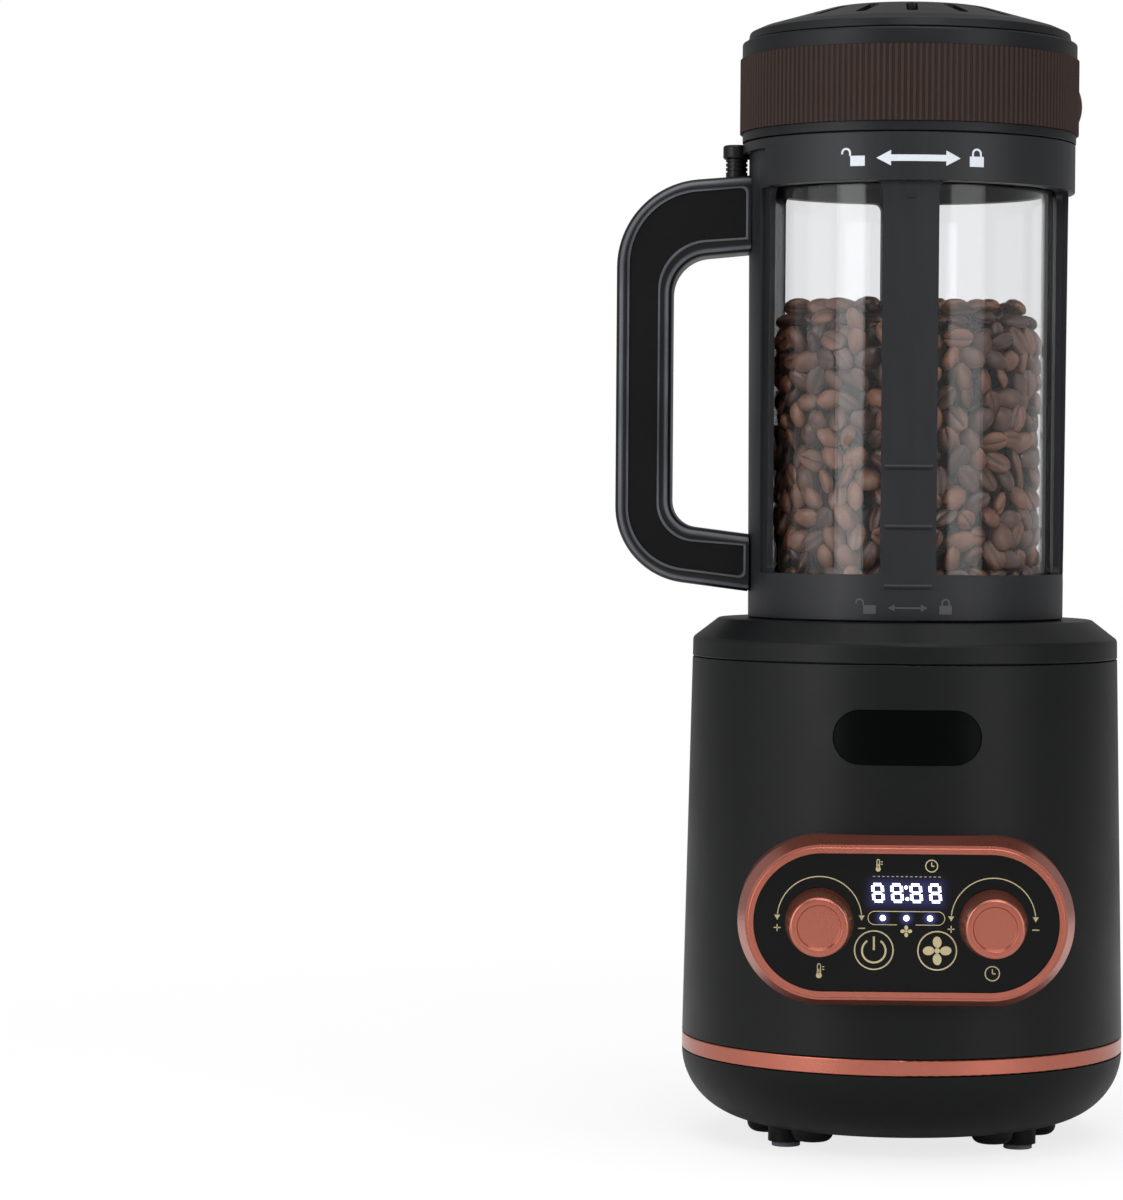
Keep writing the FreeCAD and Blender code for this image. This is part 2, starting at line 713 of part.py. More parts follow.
def duct_screws():
    screws = []
    for i in range(4):
        x, y = on_circle(DUCT_R + 3.5, 45 + 90 * i)
        head = post(x, y, 2.8, DECK_Z + DECK_T + 2.5, DECK_Z + DECK_T + 4.5)
        screws.append(head.fuse(post(x, y, 1.4, DECK_Z + DECK_T + 0.3, DECK_Z + DECK_T + 3)))
    return screws


def heater_tube():
    inner = HEATER_TUBE_R - HEATER_TUBE_T
    wall = tube(inner, HEATER_TUBE_R, DUCT_TOP_Z - 6, HEATER_TOP_Z - 0.2)
    flange = tube(inner, DUCT_R, DUCT_TOP_Z, DUCT_TOP_Z + 1)
    top = tube(inner, 41.0, HEATER_TOP_Z - 1.2, HEATER_TOP_Z - 0.2)
    return wall.fuse([flange, top]).cut(rod_x(HEATER_TOP_Z - 8, 1.8, 30, 45))


def rod_x(z, radius, x_from, x_to):
    return Part.makeCylinder(radius, x_to - x_from, Vector(x_from, 0, z), Vector(1, 0, 0))


def heater_former():
    """Crossed mica cards that the heating coil is wound on."""
    half = COIL_R - COIL_WIRE_R - 0.3
    tall = (84.0, 148.0)
    across = block((-half, half), (-0.5, 0.5), tall).fuse(block((-0.5, 0.5), (-half, half), tall))
    feet = [
        block((half - 4, HEATER_TUBE_R - 1.2), (-0.5, 0.5), (84.0, 87.0)),
        block((1.2 - HEATER_TUBE_R, 4 - half), (-0.5, 0.5), (84.0, 87.0)),
    ]
    return across.fuse(feet)


def heater_coil():
    return wound_coil(COIL_R, COIL_WIRE_R, COIL_PITCH, COIL_TURNS, 92.0)


def heat_cutout():
    """The bimetal cut-out clipped on the outside of the heater tube."""
    disc = rod_x(120.0, 7.5, HEATER_TUBE_R + 0.1, HEATER_TUBE_R + 5)
    cap = rod_x(120.0, 5.0, HEATER_TUBE_R + 5, HEATER_TUBE_R + 12)
    tabs = [block((50, 56), (y - 0.4, y + 0.4), (118, 122)) for y in (-3, 3)]
    return disc.fuse([cap] + tabs)


def air_probe():
    """The thin sensor that reads the hot air's temperature."""
    z = HEATER_TOP_Z - 8
    return rod_x(z, 1.5, 18, 44).fuse(rod_x(z, 3.0, HEATER_TUBE_R + 0.1, 44))


def power_board():
    return block((-32, 32), (52.0, 53.6), (92, 150))


def power_parts():
    """The tall parts on the power board: relay, capacitor, choke and driver."""
    relay = block((-26, -8), (41, 52), (120, 140))
    can = Part.makeCylinder(6, 9, Vector(8, 43, 132), Vector(0, 1, 0))
    choke = tube(3, 7, 0, 6)
    choke.rotate(ORIGIN, Vector(1, 0, 0), 90)
    choke.translate(Vector(22, 52, 110))
    driver = block((-20, -12), (47.5, 52), (98, 106))
    return [relay, can, choke, driver]


def cord_gland():
    """The bush in the back wall that the mains cord passes through."""
    sleeve = rod_y(0, GLAND_Z, GLAND_BODY_R, GLAND_IN_Y, GLAND_OUT_Y)
    collar = rod_y(0, GLAND_Z, GLAND_BODY_R + 2.2, housing_r(GLAND_Z) + 0.3, housing_r(GLAND_Z) + 2.8)
    nut = rod_y(0, GLAND_Z, GLAND_BODY_R + 2.2, housing_r(GLAND_Z) - WALL - 3.8, housing_r(GLAND_Z) - WALL - 1.0)
    body = sleeve.fuse([collar, nut])
    body = round_edges(body, 1.0, lambda e: abs(e.BoundBox.YMin - GLAND_OUT_Y) < 0.01)
    return body.cut(rod_y(0, GLAND_Z, GLAND_BORE_R, GLAND_IN_Y - 1, GLAND_OUT_Y + 1))


# Jug
def pillar_edges():
    """The four windows as (middle, half) angles about Z, where +X is 0 and the handle is at 180."""
    front = -90.0
    back = 90.0
    far = FAR_PILLAR_HALF
    near = 180.0 - HANDLE_PILLAR_HALF
    gap = FRONT_PILLAR_HALF
    spans = [
        (front + gap, -far),
        (far, back - gap),
        (back + gap, near),
        (-near, front - gap),
    ]
    return [((low + high) / 2, (high - low) / 2) for low, high in spans]


def window_cutters():
    tools = []
    for middle, half in pillar_edges():
        tool = sector(45.0, 60.0, WINDOW_BOTTOM_Z, WINDOW_TOP_Z, middle, half)
        radial = [e for e in tool.Edges if e.BoundBox.ZLength < 0.01 and abs(e.Length - 15.0) < 0.01]
        tools.append(tool.makeFillet(WINDOW_CORNER_R, radial))
    return tools


def jug_cage():
    outline = [
        (FOOT_RING_IN_R, SEAT_TOP_Z + 0.2),
        (FOOT_RING_R, SEAT_TOP_Z + 0.2),
        (FOOT_RING_R, COVER_TOP_Z + 0.2),
        (CAGE_BOTTOM_R, COVER_TOP_Z + 0.2),
        (CAGE_TOP_R, COLLAR_BOTTOM_Z),
        (COLLAR_R, COLLAR_BOTTOM_Z),
        (COLLAR_R, COLLAR_TOP_Z),
        (NECK_R, COLLAR_TOP_Z),
        (NECK_R, NECK_TOP_Z),
        (CAGE_IN_R, NECK_TOP_Z),
        (CAGE_IN_R, FLOOR_Z),
        (FOOT_RING_IN_R, FLOOR_Z),
    ]
    cage = lathe(outline, [0, 0, 0, 0.6, 0, 0.5, 0.4, 0, 0.5, 0.4, 0, 0])
    cuts = window_cutters()
    for side, span, step in ((180.0, HANDLE_PILLAR_HALF, 4.2), (0.0, FAR_PILLAR_HALF, 3.0)):
        for turn in (-1, 1):
            middle = side + turn * (span - step / 2 + 1.0)
            cuts.append(sector(PILLAR_STEP_R, 60.0, WINDOW_BOTTOM_Z, COLLAR_BOTTOM_Z - 0.1, middle, step / 2 + 1.0))
    cuts.append(sector(54.35, 60.0, COLLAR_BOTTOM_Z - 1, COLLAR_TOP_Z - 3.4, 180.0, 31.0))
    cage = cage.cut(cuts)
    lugs = []
    for i in range(JUG_LUGS):
        low = JUG_LUG_Z
        lugs.append(sector(FOOT_RING_R - 0.5, 49.0, low, low + JUG_LUG_H, 30 + 60.0 * i, JUG_LUG_HALF))
    for i in range(LID_LUGS):
        middle = CAGE_LUG_ANGLE + 90.0 * i
        lugs.append(sector(NECK_R - 0.5, CAGE_LUG_R, CAGE_LUG_Z, CAGE_LUG_Z + LUG_H, middle, CAGE_LUG_HALF))
    for z, half in FRONT_LINES:
        share = (z - COVER_TOP_Z) / (COLLAR_BOTTOM_Z - COVER_TOP_Z)
        face_r = CAGE_BOTTOM_R + share * (CAGE_TOP_R - CAGE_BOTTOM_R)
        lugs.append(sector(53.0, face_r + 0.5, z - FRONT_LINE_H / 2, z + FRONT_LINE_H / 2, -90.0, half))
    for low, high in ((301.8, 323.4), (188.0, 199.5)):
        lugs.append(block((-66.0, -53.0), (-6.0, 6.0), (low, high)))
    cage = cage.fuse(lugs)
    dogs = [sector(43.0, 47.5, SEAT_TOP_Z - 1, SEAT_TOP_Z + 3.2, 120.0 * i, 6.0) for i in range(3)]
    head_room = post(BUTTON_X, 0, BUTTON_HEAD_R + 0.35, 323.0, COLLAR_TOP_Z + 0.1)
    tooth_room = block((-56.0, -53.1), (-1.6, 1.6), (329.0, COLLAR_TOP_Z + 0.1))
    well = post(BUTTON_X, 0, BUTTON_STEM_R + 0.15, BUTTON_WELL_Z, 330.0)
    pins = [rod_y(-62.6, z, 1.6, -10, 10) for z in (193.5,)]
    pins.append(rod_y(-63.9, 303.9, 1.2, -10, 10))
    return cage.cut(dogs + [head_room, tooth_room, well] + pins)


def glass_cylinder():
    corners = [
        (GLASS_IN_R, GLASS_BOTTOM_Z),
        (GLASS_OUT_R, GLASS_BOTTOM_Z),
        (GLASS_OUT_R, GLASS_TOP_Z),
        (GLASS_IN_R, GLASS_TOP_Z),
    ]
    return lathe(corners, [0.8] * 4)


def lower_glass_seal():
    corners = [(44.5, FLOOR_Z + 1.2), (50.5, FLOOR_Z + 1.2), (50.5, GLASS_BOTTOM_Z), (44.5, GLASS_BOTTOM_Z)]
    return lathe(corners)


def upper_glass_seal():
    return tube(46.7, 50.4, GLASS_TOP_Z, GLASS_TOP_Z + 2.0)


def glass_retainer():
    """The ring that holds the glass down against its seals."""
    low = GLASS_TOP_Z + 2.0
    corners = [(46.6, low), (50.55, low), (50.55, 341.0), (46.6, 341.0)]
    ring = lathe(corners, [0, 0, 0.5, 1.0])
    notches = [sector(49.0, 51.0, 338.0, 342.0, 60.0 * i, 4.0) for i in range(6)]
    return ring.cut(notches)


def air_plate():
    """The slotted stainless plate that lifts the beans on hot air."""
    outline = [
        (0, FLOOR_Z),
        (49.5, FLOOR_Z),
        (49.5, FLOOR_Z + 1.2),
        (12.0, FLOOR_Z + 1.2),
        (0.0, FLOOR_Z + 6.0),
    ]
    plate = lathe(outline)
    hollow = lathe([(0, FLOOR_Z - 1), (10.5, FLOOR_Z - 1), (10.5, FLOOR_Z), (0, FLOOR_Z + 4.4)])
    slots = []
    for i in range(24):
        slot = stadium_up(16.0, 40.0, 1.8, FLOOR_Z - 1, FLOOR_Z + 3)
        slot.rotate(Vector(28, 0, 0), UP, 25)
        slot.rotate(ORIGIN, UP, 15.0 * i)
        slots.append(slot)
    return plate.cut([hollow] + slots)


def handle_core(y_from, y_to):
    """The full C of the handle between two planes."""
    outer = slab(HANDLE_OUTER, HANDLE_OUTER_RADII, y_from, y_to)
    inner_outline = [(-40.0, HANDLE_INNER[0][1])] + list(HANDLE_INNER[1:3]) + [(-40.0, HANDLE_INNER[3][1])]
    inner = slab(inner_outline, HANDLE_INNER_RADII, y_from - 1, y_to + 1)
    return outer.cut(inner)


def inlay_slab(y_from, y_to, grow=0.0):
    """The C of the handle's inlay between two planes, made wider all round by a margin."""
    (right, top), (left, top_left), (_, low_left), (_, low) = INLAY_OUTER
    corners = [
        (right + grow, top + grow),
        (left - grow, top_left + grow),
        (left - grow, low_left - grow),
        (right + grow, low - grow),
    ]
    outer = slab(corners, INLAY_OUTER_RADII, y_from, y_to)
    (_, top), (left, top_left), (_, low_left), (_, low) = INLAY_INNER
    hole = [
        (-40.0, top - grow),
        (left + grow, top_left - grow),
        (left + grow, low_left + grow),
        (-40.0, low + grow),
    ]
    inner = slab(hole, (0,) + INLAY_INNER_RADII[1:3] + (0,), y_from - 1, y_to + 1)
    return outer.cut(inner)


def handle_half(side):
    """One half of the handle's shell: side -1 is the front one, +1 the rear one."""
    face = side * HANDLE_T / 2
    low, high = (face, 0.0) if side < 0 else (0.0, face)
    core = handle_core(low, high)
    rims = [e for e in core.Edges if abs(e.BoundBox.YMin - face) < 0.01 and abs(e.BoundBox.YMax - face) < 0.01]
    rims = [e for e in rims if e.BoundBox.XMin < -45.5]
    core = core.makeFillet(HANDLE_EDGE_R, rims)
    shell_cut = lathe([(0, 150), (CAGE_TOP_R + 0.15, 150), (CAGE_TOP_R + 0.15, 360), (0, 360)])
    beyond = face + side
    recess = inlay_slab(*sorted((beyond, face - side * INLAY_DEPTH)))
    step = inlay_slab(*sorted((beyond, face - side * INLAY_STEP_DEPTH)), INLAY_STEP)
    cuts = [shell_cut, recess, step]
    cuts.append(block((-66.1, -50), (-6.1, 6.1), (301.7, 323.5)))
    cuts.append(block((-66.1, -50), (-6.1, 6.1), (187.9, 199.6)))
    cuts.append(post(BUTTON_X, 0, BUTTON_STEM_R + 0.2, 320.0, 332.0))
    for x, z in ((-62.6, 193.5), (-63.9, 303.9), (-89.3, 250.0)):
        cuts.append(rod_y(x, z, 1.25, -8.0, 20))
        if side > 0:
            cuts.append(rod_y(x, z, 3.0, HANDLE_T / 2 - INLAY_DEPTH - 2.6, 20))
    return core.cut(cuts)


def handle_inlay(side):
    """The soft panel let into one face of the handle."""
    face = side * HANDLE_T / 2
    deep = face - side * INLAY_DEPTH
    low, high = sorted((deep, deep + side * INLAY_T))
    panel = inlay_slab(low, high)
    trimmed = panel.common(handle_core(-20, 20))
    return trimmed


def handle_screws():
    screws = []
    for x, z in ((-62.6, 193.5), (-63.9, 303.9), (-89.3, 250.0)):
        head_y = HANDLE_T / 2 - INLAY_DEPTH - 2.6
        head = rod_y(x, z, 2.8, head_y, head_y + 1.8)
        shank = rod_y(x, z, 1.15, -7.5, head_y + 0.1)
        screws.append(head.fuse(shank))
    return screws


def lid_button():
    """The plunger on the handle's top, with the tooth that stops the lid's turn."""
    stem = post(BUTTON_X, 0, BUTTON_STEM_R, BUTTON_STEM_BOTTOM_Z, BUTTON_TOP_Z - 1)
    low = BUTTON_TOP_Z - BUTTON_HEAD_H
    head = post(BUTTON_X, 0, BUTTON_HEAD_R, low, BUTTON_TOP_Z)
    head = round_edges(head, 0.9, lambda e: e.BoundBox.ZLength < 0.01)
    tooth = block((-54.4, -53.3), (-1.1, 1.1), (BUTTON_TOP_Z - 3.0, TOOTH_TOP_Z))
    rings = []
    for i in range(3):
        z = 327.8 + 1.5 * i
        rings.append(tube(BUTTON_STEM_R - 0.45, BUTTON_STEM_R + 1, z, z + 0.6))
    for ring in rings:
        ring.translate(Vector(BUTTON_X, 0, 0))
    return stem.cut(rings).fuse([head, tooth])


def button_spring():
    spring = wound_coil(2.9, 0.35, 1.95, 5, BUTTON_WELL_Z + 0.4)
    spring.translate(Vector(BUTTON_X, 0, 0))
    return spring


# Lid
def chaff_cup():
    """The cup that catches the chaff, round the chimney that the hot air comes up."""
    outline = [
        (CUP_IN_R, CUP_BOTTOM_Z),
        (CUP_OUT_R, CUP_BOTTOM_Z),
        (CUP_OUT_R, CUP_FLANGE_Z),
        (CUP_FLANGE_R, CUP_FLANGE_Z),
        (CUP_FLANGE_R, CUP_FLANGE_TOP_Z),
        (49.0, CUP_FLANGE_TOP_Z),
        (49.0, SCREEN_Z),
        (47.8, SCREEN_Z),
        (47.8, CUP_FLANGE_TOP_Z + 0.2),
        (CUP_IN_R, CUP_FLANGE_TOP_Z - 1.6),
    ]
    wall = lathe(outline)
    floor = tube(CHIMNEY_R, CUP_OUT_R, CUP_FLANGE_TOP_Z - 1.4, CUP_FLANGE_TOP_Z)
    stack = tube(CHIMNEY_R, CHIMNEY_R + 1.2, CUP_FLANGE_TOP_Z - 1.4, CHIMNEY_TOP_Z)
    return wall.fuse([floor, stack])


def chimney_cap():
    """The dished cap over the chimney, on three legs, that throws the chaff outwards."""
    dish = lathe(
        [(0, 367.5), (19.0, 365.2), (20.5, 364.0), (21.5, 364.0), (21.0, 366.0), (0, 368.7)]
    )
    legs = []
    for degrees in (30, 150, 270):
        leg = block((CHIMNEY_R + 1.25, CHIMNEY_R + 2.25), (-2.0, 2.0), (352.0, 366.2))
        leg.rotate(ORIGIN, UP, degrees)
        legs.append(leg)
    return dish.fuse(legs)


def lid_seal():
    """The silicone ring between the chaff cup and the neck of the jug."""
    return lathe([(45.85, 342.0), (46.2, 341.4), (50.3, 342.4), (50.3, 344.6), (46.2, 345.6), (45.85, 345.0)])


def chaff_screen():
    """The fine screen between the chaff and the vents."""
    rim = tube(45.0, 49.0, SCREEN_Z, SCREEN_Z + 1.4)
    disc = post(0, 0, 46.0, SCREEN_Z + 0.4, SCREEN_Z + 1.0)
    holes = perforate(disc, 45.0, 6.4, 2.3, 340.0)
    return rim.fuse(holes)


def lock_ring():
    """The turning ring: its lugs slide under the cage's, and it carries the grip and the vent cap."""
    low = COLLAR_TOP_Z + SEAM
    outline = [
        (LOCK_IN_R, low),
        (LOCK_R - 0.2, low),
        (LOCK_R - 0.2, GRIP_BOTTOM_Z),
        (LOCK_R - 0.8, GRIP_BOTTOM_Z),
        (LOCK_R - 0.8, GRIP_TOP_Z),
        (LOCK_R, GRIP_TOP_Z),
        (LOCK_R, LOCK_TOP_Z),
        (53.0, LOCK_TOP_Z),
        (53.0, LOCK_TOP_Z - 1.8),
        (LOCK_IN_R, LOCK_TOP_Z - 3.4),
    ]
    ring = lathe(outline, [0, 0.3, 0.2, 0, 0, 0.2, 0.7, 0, 0, 0])
    shelf = tube(50.0, LOCK_IN_R + 0.5, CUP_FLANGE_TOP_Z + 0.4, CUP_FLANGE_TOP_Z + 2.0)
    lugs = []
    for i in range(LID_LUGS):
        middle = CAGE_LUG_ANGLE - LID_TWIST + 90.0 * i
        top = CAGE_LUG_Z - 0.5
        lugs.append(sector(LOCK_LUG_R, LOCK_IN_R + 0.5, LOCK_LUG_Z, top, middle, LOCK_LUG_HALF))
    return ring.fuse([shelf] + lugs)


def grip_ring():
    """The brown ribbed sleeve, with one thumb bump on its side."""
    crest = GRIP_R
    valley = GRIP_R - RIB_DEPTH
    step = 2 * math.pi / RIBS
    edges = []
    for i in range(RIBS):
        start = i * step
        marks = [(valley, start), (crest, start + step * 0.36), (valley, start + step * 0.72), (valley, start + step)]
        a, b, c, d = [Vector(r * math.cos(t), r * math.sin(t), 0) for r, t in marks]
        edges.append(Part.Arc(a, b, c).toShape())
        edges.append(Part.LineSegment(c, d).toShape())
    sleeve = Part.Face(Part.Wire(edges)).extrude(Vector(0, 0, GRIP_TOP_Z - GRIP_BOTTOM_Z))
    sleeve.translate(Vector(0, 0, GRIP_BOTTOM_Z))
    sleeve = sleeve.cut(post(0, 0, LOCK_R - 0.8, GRIP_BOTTOM_Z - 1, GRIP_TOP_Z + 1))
    bump = Part.makeSphere(13.8, Vector(GRIP_R + 1.1 - 13.8, 0, 350.6))
    bump = bump.common(tube(LOCK_R - 0.4, 62.0, 343, 359))
    return sleeve.fuse(bump)


def vent_cap():
    """The conical top with its ring of vents, and the skirt that plugs it into the lock ring."""
    outline = [
        (0, CAP_TOP_Z),
        (28.5, CAP_TOP_Z),
        (50.6, 376.3),
        (54.4, 374.6),
        (55.0, LOCK_TOP_Z + 0.4),
        (52.8, LOCK_TOP_Z + 0.4),
        (52.8, 362.0),
        (51.0, 362.0),
        (51.0, 373.4),
        (28.0, CAP_TOP_Z - 2.2),
        (0, CAP_TOP_Z - 2.2),
    ]
    cap = lathe(outline, [0, 5.0, 0.8, 0.8, 0.3, 0, 0, 0, 1.0, 0, 0])
    slots = []
    for i in range(VENT_SLOTS):
        slot = stadium_up(VENT_INNER_R, VENT_OUTER_R, VENT_W, 371.0, 390.0)
        slot.rotate(ORIGIN, UP, -90.0 + 360.0 * i / VENT_SLOTS)
        slots.append(slot)
    dish = lathe([(0, CAP_TOP_Z - 0.7), (20.4, CAP_TOP_Z - 0.7), (21.2, CAP_TOP_Z + 1), (0, CAP_TOP_Z + 1)])
    return cap.cut(slots + [dish])


def cap_disc():
    """The plain disc let into the middle of the cap."""
    low = CAP_TOP_Z - 0.7
    high = CAP_TOP_Z - 0.1
    return lathe([(0, low), (20.3, low), (20.3, high), (0, high)], [0, 0, 0.3, 0])


def nodes():
    """Every node's name and its solid or solids."""
    return {
        "base_pan": base_pan(),
        "foot_pads": foot_pads(),
        "base_screws": base_screws(),
        "intake_mesh": intake_mesh(),
        "copper_band": copper_band(),
        "main_housing": main_housing(),
        "badge_plate": badge_plate(),
        "top_cover": top_cover(),
        "socket_ring": socket_ring(),
        "seat_ring": seat_ring(),
        "seat_gasket": seat_gasket(),
        "panel_bezel": panel_bezel(),
        "panel_glass": panel_glass(),
        "panel_tray": panel_tray(),
        "control_board": control_board(),
        "display_module": display_module(),
        "indicator_lamps": indicator_lamps(),
        "touch_springs": touch_springs(),
        "temp_encoder": encoder(-1),
        "time_encoder": encoder(1),
        "temp_knob": knob(-1),
        "time_knob": knob(1),
        "temp_shaft": knob_shaft(-1),
        "time_shaft": knob_shaft(1),
        "fan_deck": fan_deck(),
        "deck_posts": deck_posts(),
        "fan_motor": fan_motor(),
        "motor_screws": motor_screws(),
        "motor_shaft": motor_shaft(),
        "impeller": impeller(),
        "blower_duct": blower_duct(),
        "duct_screws": duct_screws(),
        "heater_tube": heater_tube(),
        "heater_former": heater_former(),
        "heater_coil": heater_coil(),
        "heat_cutout": heat_cutout(),
        "air_probe": air_probe(),
        "power_board": power_board(),
        "power_parts": power_parts(),
        "cord_gland": cord_gland(),
        "jug_cage": jug_cage(),
        "glass_cylinder": glass_cylinder(),
        "lower_glass_seal": lower_glass_seal(),
        "upper_glass_seal": upper_glass_seal(),
        "glass_retainer": glass_retainer(),
        "air_plate": air_plate(),
        "handle_front": handle_half(-1),
        "handle_rear": handle_half(1),
        "handle_inlays": [handle_inlay(-1), handle_inlay(1)],
        "handle_screws": handle_screws(),
        "lid_button": lid_button(),
        "button_spring": button_spring(),
        "chaff_cup": chaff_cup(),
        "chimney_cap": chimney_cap(),
        "lid_seal": lid_seal(),
        "chaff_screen": chaff_screen(),
        "lock_ring": lock_ring(),
        "grip_ring": grip_ring(),
        "vent_cap": vent_cap(),
        "cap_disc": cap_disc(),
    }


def write_nodes(folder="parts"):
    os.makedirs(folder, exist_ok=True)
    for name, shape in nodes().items():
        solids = shape if isinstance(shape, list) else [shape]
        solids = [solid for item in solids for solid in item.Solids]
        bad = [solid for solid in solids if not solid.isValid() or solid.Volume <= 0]
        joined = solids[0] if len(solids) == 1 else Part.makeCompound(solids)
        joined.exportStep(os.path.join(folder, name + ".step"))
        print(name, len(solids), "solids", round(sum(s.Volume for s in solids)), "mm3", "BAD" if bad else "")


write_nodes()
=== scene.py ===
import bmesh
import bpy
import math
import random
import numpy as np
from mathutils import Matrix, Vector


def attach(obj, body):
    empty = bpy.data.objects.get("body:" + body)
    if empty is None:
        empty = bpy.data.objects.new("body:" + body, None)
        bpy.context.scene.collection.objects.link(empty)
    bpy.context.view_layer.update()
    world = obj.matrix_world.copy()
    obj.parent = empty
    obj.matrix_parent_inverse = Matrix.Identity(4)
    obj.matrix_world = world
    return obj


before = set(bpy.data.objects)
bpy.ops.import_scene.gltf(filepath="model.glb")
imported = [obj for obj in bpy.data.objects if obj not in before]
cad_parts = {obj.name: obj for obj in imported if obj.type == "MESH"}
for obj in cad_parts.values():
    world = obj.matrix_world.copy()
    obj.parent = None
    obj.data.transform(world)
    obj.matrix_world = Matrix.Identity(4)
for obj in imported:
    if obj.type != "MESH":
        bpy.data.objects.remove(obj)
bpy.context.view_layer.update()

MM = 0.001

# Places on the object, in millimetres, as its construction has them
GLASS_Y = -80.8
KNOB_X = 28.0
KNOB_Z = 80.5
HANDLE_STEP_Y = 10.9
LEVEL_LINES_Z = (188.2, 207.8, 227.5)
LEVEL_LINE_HALF = 7.9
RIB_VALLEY_R = 57.1
RIB_CREST_R = 57.6
COLLAR_R = 56.53
SKIRT_R = 53.66

# Signs on the panel's glass, in millimetres
PRINT_T = 0.09
DISPLAY_Z = 90.1
DIGITS_X = (-9.2, -3.07, 3.07, 9.2)
DIGIT_W = 4.0
DIGIT_H = 6.3
DIGIT_STROKE = 0.95
DIGIT_LEAN = -0.10
COLON_DOTS = ((-0.2, 1.8), (0.25, -1.9))
COLON_R = 0.6
DASHES = 15
DASH_PITCH = 1.5
DASHES_RISE = 5.3
DOTS_Z = 82.0
DOTS_X = (-7.6, 0.0, 7.6)
DOT_R = 0.95
DOTS_FRAME_X = 10.2
DOTS_FRAME_R = 2.15
KEY_Z = 71.6
KEY_POWER_X = -10.4
KEY_FAN_X = 10.0
KEY_R = 6.2
DIAL_R = 13.6
SIGN_LINE = 0.34
FRAME_LINE = 0.24
CLOCKS = ((8.0, 98.9, 1.9), (27.8, 64.4, 2.3))
THERMOMETERS = ((-9.2, 99.0, 4.2), (-28.0, 64.8, 5.0))

# Glow under the glass, in millimetres, round the display's lit field and round each of the three lights
FIELD_HALF_W = 10.5
FIELD_HALF_H = 2.8
FIELD_GLOW_REACH = 4.2
LIGHT_GLOW_REACH = 3.2

# Signs on the jug, in millimetres
COLLAR_PRINT_Z = 328.7
SKIRT_PRINT_Z = 181.6

# Beans in the jug, in millimetres; a round has its inset from the wall, its pitch and its rows' rise
BEAN_HALF = (5.2, 3.7, 2.6)
BEAN_TOP_Z = 279.0
BEAN_FLOOR_Z = 187.4
BEAN_WALL_R = 46.2
BEAN_SEED = 11
BEAN_ROUNDS = ((3.5, 8.3, 6.6), (9.2, 8.4, 6.8))
PUSH_ROUNDS = 14
PUSH_SHARE = 0.32
BEANS_ON_TOP = 64
BEAN_GAP = 6.9
GOLDEN_ANGLE = 2.39996
CREASE_HALF_W = 0.12
CREASE_HALF_L = 4.9
CORE_R = 34.5

# The photographing camera, worked out from the ellipses of the round parts, in metres and degrees
CAMERA_DISTANCE = 1.381
CAMERA_HEIGHT = 0.2142
CAMERA_AZIMUTH = -0.95
CAMERA_PITCH = 1.33
CAMERA_ROLL = 0.45
CAMERA_LENS = 121.3
SIDE_YAW = 2.42
SIDE_SHIFT = -0.1439

# The surroundings, in metres and in shares of plain white
FLOOR_SIZE = 30.0
FLOOR_GAP = 0.0002
WHITE_FOR_MATTE = 0.3
EXTRA_FOR_SHINY = 0.1

# Each lamp's name, place and size in metres, and power in watts
LAMPS = (
    ("left_strip", (-1.08, -1.02, 0.4), (0.6, 1.5), 11.5),
    ("left_wing", (-1.42, -0.45, 0.4), (0.7, 1.5), 4.0),
    ("right_strip", (1.09, -1.03, 0.4), (0.75, 1.5), 9.0),
    ("overhead", (0.0, -0.2, 1.7), (1.6, 1.2), 16.0),
    ("front_fill", (0.3, -1.9, 1.5), (1.0, 0.8), 15.0),
)


# Shader writing
class Wire:
    """A node's output that arithmetic builds on with Math nodes."""

    def __init__(self, finish, socket):
        self.finish = finish
        self.socket = socket

    def __add__(self, other):
        return self.finish.maths("ADD", self, other)

    def __sub__(self, other):
        return self.finish.maths("SUBTRACT", self, other)

    def __mul__(self, other):
        return self.finish.maths("MULTIPLY", self, other)

    def __truediv__(self, other):
        return self.finish.maths("DIVIDE", self, other)

    def __pow__(self, other):
        return self.finish.maths("POWER", self, other)

    def __radd__(self, other):
        return self.finish.maths("ADD", other, self)

    def __rsub__(self, other):
        return self.finish.maths("SUBTRACT", other, self)

    def __rmul__(self, other):
        return self.finish.maths("MULTIPLY", other, self)

    def __abs__(self):
        return self.finish.maths("ABSOLUTE", self)

    def above(self, other):
        return self.finish.maths("GREATER_THAN", self, other)

    def least(self, other):
        return self.finish.maths("MINIMUM", self, other)

    def most(self, other):
        return self.finish.maths("MAXIMUM", self, other)

    def sine(self):
        return self.finish.maths("SINE", self)


